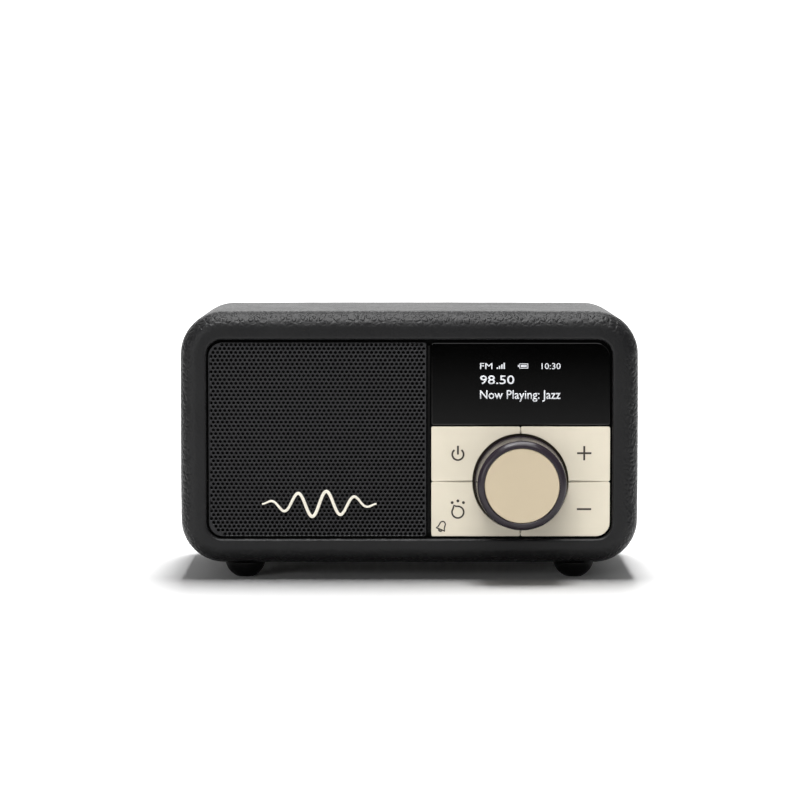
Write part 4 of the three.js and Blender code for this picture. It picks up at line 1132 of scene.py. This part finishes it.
steel = mottled("plated_steel", (0.62, 0.61, 0.59), 0.28, 6.0, 0.06, 0.06, metallic=1.0)
add_grain(steel, 0.6, 0.006, 3.0, (1.0, 6.0, 1.0))
dress(steel, "encoder_shaft", *[f"tact_switch_{key}" for key in keys])
dress(black_abs, "encoder_body", "encoder_plunger")

# ---------------------------------------------------------------------------------------------
# Loudspeaker: a pressed steel basket with a foam gasket, a rolled rubber surround, a black paper
# cone with its dust cap, a doped cloth spider and coil, and a ferrite magnet between plates.

speaker_low, speaker_high = box_mm("speaker_frame")
SPEAKER = [(speaker_low[0] + speaker_high[0]) / 2, FRONT, (speaker_low[2] + speaker_high[2]) / 2]


def rolled(name, middle, y, centre):
    """A rubber ring with a half-round roll: two arcs of unlike radius about one circle, closed at the edges."""
    section = np.concatenate([arc(middle, y, 2.1, 180, 360, 14), arc(middle, y, 1.7, 360, 180, 14)])
    return turned(name, np.concatenate([section, section[:1]]), centre, "y", 96)


surround_rubber = mottled("surround_rubber", (0.006, 0.006, 0.006), 0.75, 5.0, 0.1, 0.05)
add_grain(surround_rubber, 0.4, 0.01)
fit(rolled("speaker_roll", 19.9, 8.5, SPEAKER), "radio", "rubber", surround_rubber, "speaker_surround")

paper = mottled("black_paper", (0.014, 0.014, 0.014), 0.85, 2.5, 0.2, 0.05)
add_grain(paper, 0.7, 0.06, 6.0)
cone_drop = np.linspace(0, 1, 14)[:, None]
cone_front = np.array([17.4, 8.7]) * (1 - cone_drop) + np.array([6.6, 16.4]) * cone_drop
cone_front[:, 1] += 0.7 * np.sin(math.pi * cone_drop[:, 0])
cone_back = (cone_front + [0.0, 0.5])[::-1]
cone_profile = np.concatenate([cone_front, cone_back, cone_front[:1]])
fit(turned("paper_cone", cone_profile, SPEAKER), "speaker_diaphragm", "paper_cone", paper, "speaker_cone")

cap_radius = 7.2
cap_r = np.linspace(0, cap_radius, 16)
cap_y = 13.2 + 2.4 * (cap_r / cap_radius) ** 2
dust_profile = np.concatenate([np.stack([cap_r, cap_y], 1), np.stack([cap_r, cap_y + 0.4], 1)[::-1]])
fit(turned("dust_dome", dust_profile, SPEAKER), "speaker_diaphragm", "paper_cone", paper, "speaker_dust_cap")

foam = finish("black_foam", (0.02, 0.02, 0.02), 0.95)
add_mottle(foam, (0.02, 0.02, 0.02), 1.5, 0.25, 0.93, 0.05)
add_grain(foam, 0.35, 0.08, 5.0)
dress(foam, "speaker_gasket")
doped_cloth = mottled("doped_cloth", (0.32, 0.2, 0.09), 0.8, 2.0, 0.15, 0.06)
add_grain(doped_cloth, 0.3, 0.05, 2.0)
dress(doped_cloth, "speaker_spider")
dress(steel, "speaker_frame", "speaker_top_plate", "speaker_yoke")
ferrite = mottled("ferrite", (0.035, 0.035, 0.037), 0.7, 2.0, 0.2, 0.08)
add_grain(ferrite, 0.5, 0.05, 5.0)
dress(ferrite, "speaker_magnet")
copper = mottled("enamelled_copper", (0.72, 0.33, 0.14), 0.25, 3.0, 0.08, 0.05, metallic=1.0)
add_grain(copper, 0.25, 0.05, 0.0, (0.01, 1.0, 0.01))
dress(copper, "voice_coil")

# ---------------------------------------------------------------------------------------------
# Circuit boards, wiring and battery: green fibreglass boards, a tinned shield can, two cells in a
# blue sleeve in a black tray, a red speaker lead, a black aerial lead and a grey ribbon cable.

solder_resist = mottled("solder_resist", (0.02, 0.11, 0.045), 0.35, 7.0, 0.15, 0.08, coat=0.3)
tracks = node_in(solder_resist, "ShaderNodeTexBrick", Scale=1.0)
solder_resist.node_tree.links.new(pattern_place(solder_resist, 2.4), tracks.inputs["Vector"])
add_bump(solder_resist, tracks.outputs["Fac"], 0.04)
dress(solder_resist, "front_board", "main_board")
dress(steel, "tuner_shield")
cell_sleeve = mottled("cell_sleeve", (0.02, 0.10, 0.32), 0.3, 12.0, 0.08, 0.08, coat=0.3)
add_grain(cell_sleeve, 2.5, 0.05, 2.0, (0.3, 1.0, 1.0))
dress(cell_sleeve, "battery_pack")
dress(black_abs, "battery_tray")
red_sleeve = moulding("red_sleeve", (0.35, 0.012, 0.012), 0.4)
dress(red_sleeve, "speaker_lead")
black_sleeve = moulding("black_sleeve", BLACK, 0.4)
dress(black_sleeve, "aerial_lead")
ribbon = mottled("grey_ribbon", (0.28, 0.28, 0.29), 0.45, 4.0, 0.06, 0.05)
strands = node_in(ribbon, "ShaderNodeTexWave", Scale=0.5)
ribbon.node_tree.links.new(pattern_place(ribbon, 1.0), strands.inputs["Vector"])
add_bump(ribbon, strands.outputs["Fac"], 0.15)
dress(ribbon, "ribbon_cable")

# ---------------------------------------------------------------------------------------------
# Passive bass radiator: a black plate on a rubber roll in a plastic ring, glued behind the vent.

radiator_low, radiator_high = box_mm("radiator_frame")
RADIATOR = [(radiator_low[0] + radiator_high[0]) / 2, FRONT, (radiator_low[2] + radiator_high[2]) / 2]
roll_y = box_mm("radiator_surround")[0][1] - FRONT + 2.1
fit(rolled("radiator_roll", 18.1, roll_y, RADIATOR), "radio", "rubber", surround_rubber, "radiator_surround")
plate_low, plate_high = box_mm("radiator_plate")
plate_front, plate_back = plate_low[1] - FRONT, plate_high[1] - FRONT
plate_profile = np.concatenate(
    [
        [[0.0, plate_front], [11.5, plate_front]],
        [[15.2, plate_front + 0.75], [15.7, plate_front + 0.95], [15.7, plate_back - 0.4]],
        arc(15.3, plate_back - 0.4, 0.4, 0, 90, 4),
        [[9.2, plate_back], [8.8, plate_back - 0.35], [6.2, plate_back - 0.35]],
        [[5.8, plate_back], [0.0, plate_back]],
    ]
)
plate = turned("radiator_disc", plate_profile, RADIATOR)
fit(plate, "bass_radiator", "paper_cone", black_abs, "radiator_plate")
dress(black_abs, "radiator_frame")

# ---------------------------------------------------------------------------------------------
# Rear panel: a black ABS moulding with a slotted vent, socket openings and a ledge for the aerial,
# held by four cross-recessed screws. The sockets stand on the main board behind it.


def eased(name, node):
    """A CAD node's own shape with its flat faces joined up, shaded smooth but for its sharp edges."""
    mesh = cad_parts[node].data.copy()
    mesh.name = name
    work = bmesh.new()
    work.from_mesh(mesh)
    bmesh.ops.remove_doubles(work, verts=work.verts, dist=2e-6)
    flat = math.radians(0.5)
    bmesh.ops.dissolve_limit(work, angle_limit=flat, verts=work.verts, edges=work.edges)
    work.to_mesh(mesh)
    work.free()
    mesh.polygons.foreach_set("use_smooth", np.ones(len(mesh.polygons), bool))
    mesh.set_sharp_from_angle(angle=math.radians(30.0))
    return mesh


def bevelled(piece, edge):
    """Rounds a piece's sharp edges, and keeps the flat faces' shading flat."""
    bevel = piece.modifiers.new("edge", "BEVEL")
    bevel.width = edge * MM
    bevel.segments = 2
    bevel.limit_method = "ANGLE"
    bevel.angle_limit = math.radians(35.0)
    bevel.harden_normals = True
    return piece


rear = fit(eased("rear_moulding", "rear_panel"), "radio", "black_plastic", black_abs, "rear_panel")
bevelled(rear, 0.22)
dress(steel, *[f"rear_screw_{k}" for k in (1, 2, 3, 4)], "usb_c_socket")
dress(black_abs, "headphone_socket")

# ---------------------------------------------------------------------------------------------
# Telescopic aerial: a moulded turret and knuckle on a steel pin, and chromed brass tubes that slide
# in each other. It lies folded along the back, on the panel's ledge.

chrome = mottled("chrome", (0.78, 0.78, 0.79), 0.08, 20.0, 0.03, 0.03, metallic=1.0)
add_grain(chrome, 1.2, 0.002, 2.0, (0.2, 1.0, 1.0))
TUBE_WALL = 0.4
tube_bodies = ["aerial_arm", "aerial_tube_2", "aerial_tube_3", "aerial_rod"]
for k, body in enumerate(tube_bodies):
    node = f"aerial_section_{k + 1}"
    low, high = box_mm(node)
    mid_y, mid_z = (low[1] + high[1]) / 2, (low[2] + high[2]) / 2
    if k < 3:
        r = (high[1] - low[1]) / 2
        profile = np.concatenate(
            [
                [[r - TUBE_WALL, low[0]], [r - 0.1, low[0]], [r, low[0] + 0.1]],
                straight((r, low[0] + 0.1), (r, high[0] - 1.2), 4),
                arc(r - 0.8, high[0] - 1.2, 0.8, 0, 60, 6)[1:],
                [[r - TUBE_WALL, high[0]], [r - TUBE_WALL, low[0]]],
            ]
        )
    else:
        r, tip = 1.0, (high[1] - low[1]) / 2
        profile = np.concatenate(
            [
                [[0.0, low[0]], [r - 0.1, low[0]], [r, low[0] + 0.1]],
                straight((r, low[0] + 0.1), (r, high[0] - 4.2), 4),
                [[r + 0.5, high[0] - 4.1]],
                arc(tip - 0.5, high[0] - 3.4, 0.5, -90, 0, 4),
                arc(tip - 1.3, high[0] - 1.3, 1.3, 0, 90, 8),
                [[0.0, high[0]]],
            ]
        )
    fit(turned(f"chrome_tube_{k + 1}", profile, [0.0, mid_y, mid_z], "x", 64), body, "chrome", chrome, node)

turret = fit(eased("turret", "aerial_base"), "aerial_turret", "black_plastic", black_abs, "aerial_base")
bevelled(turret, 0.15)
knuckle = fit(eased("knuckle", "aerial_knuckle"), "aerial_arm", "black_plastic", black_abs, "aerial_knuckle")
bevelled(knuckle, 0.15)
dress(steel, "aerial_pin")
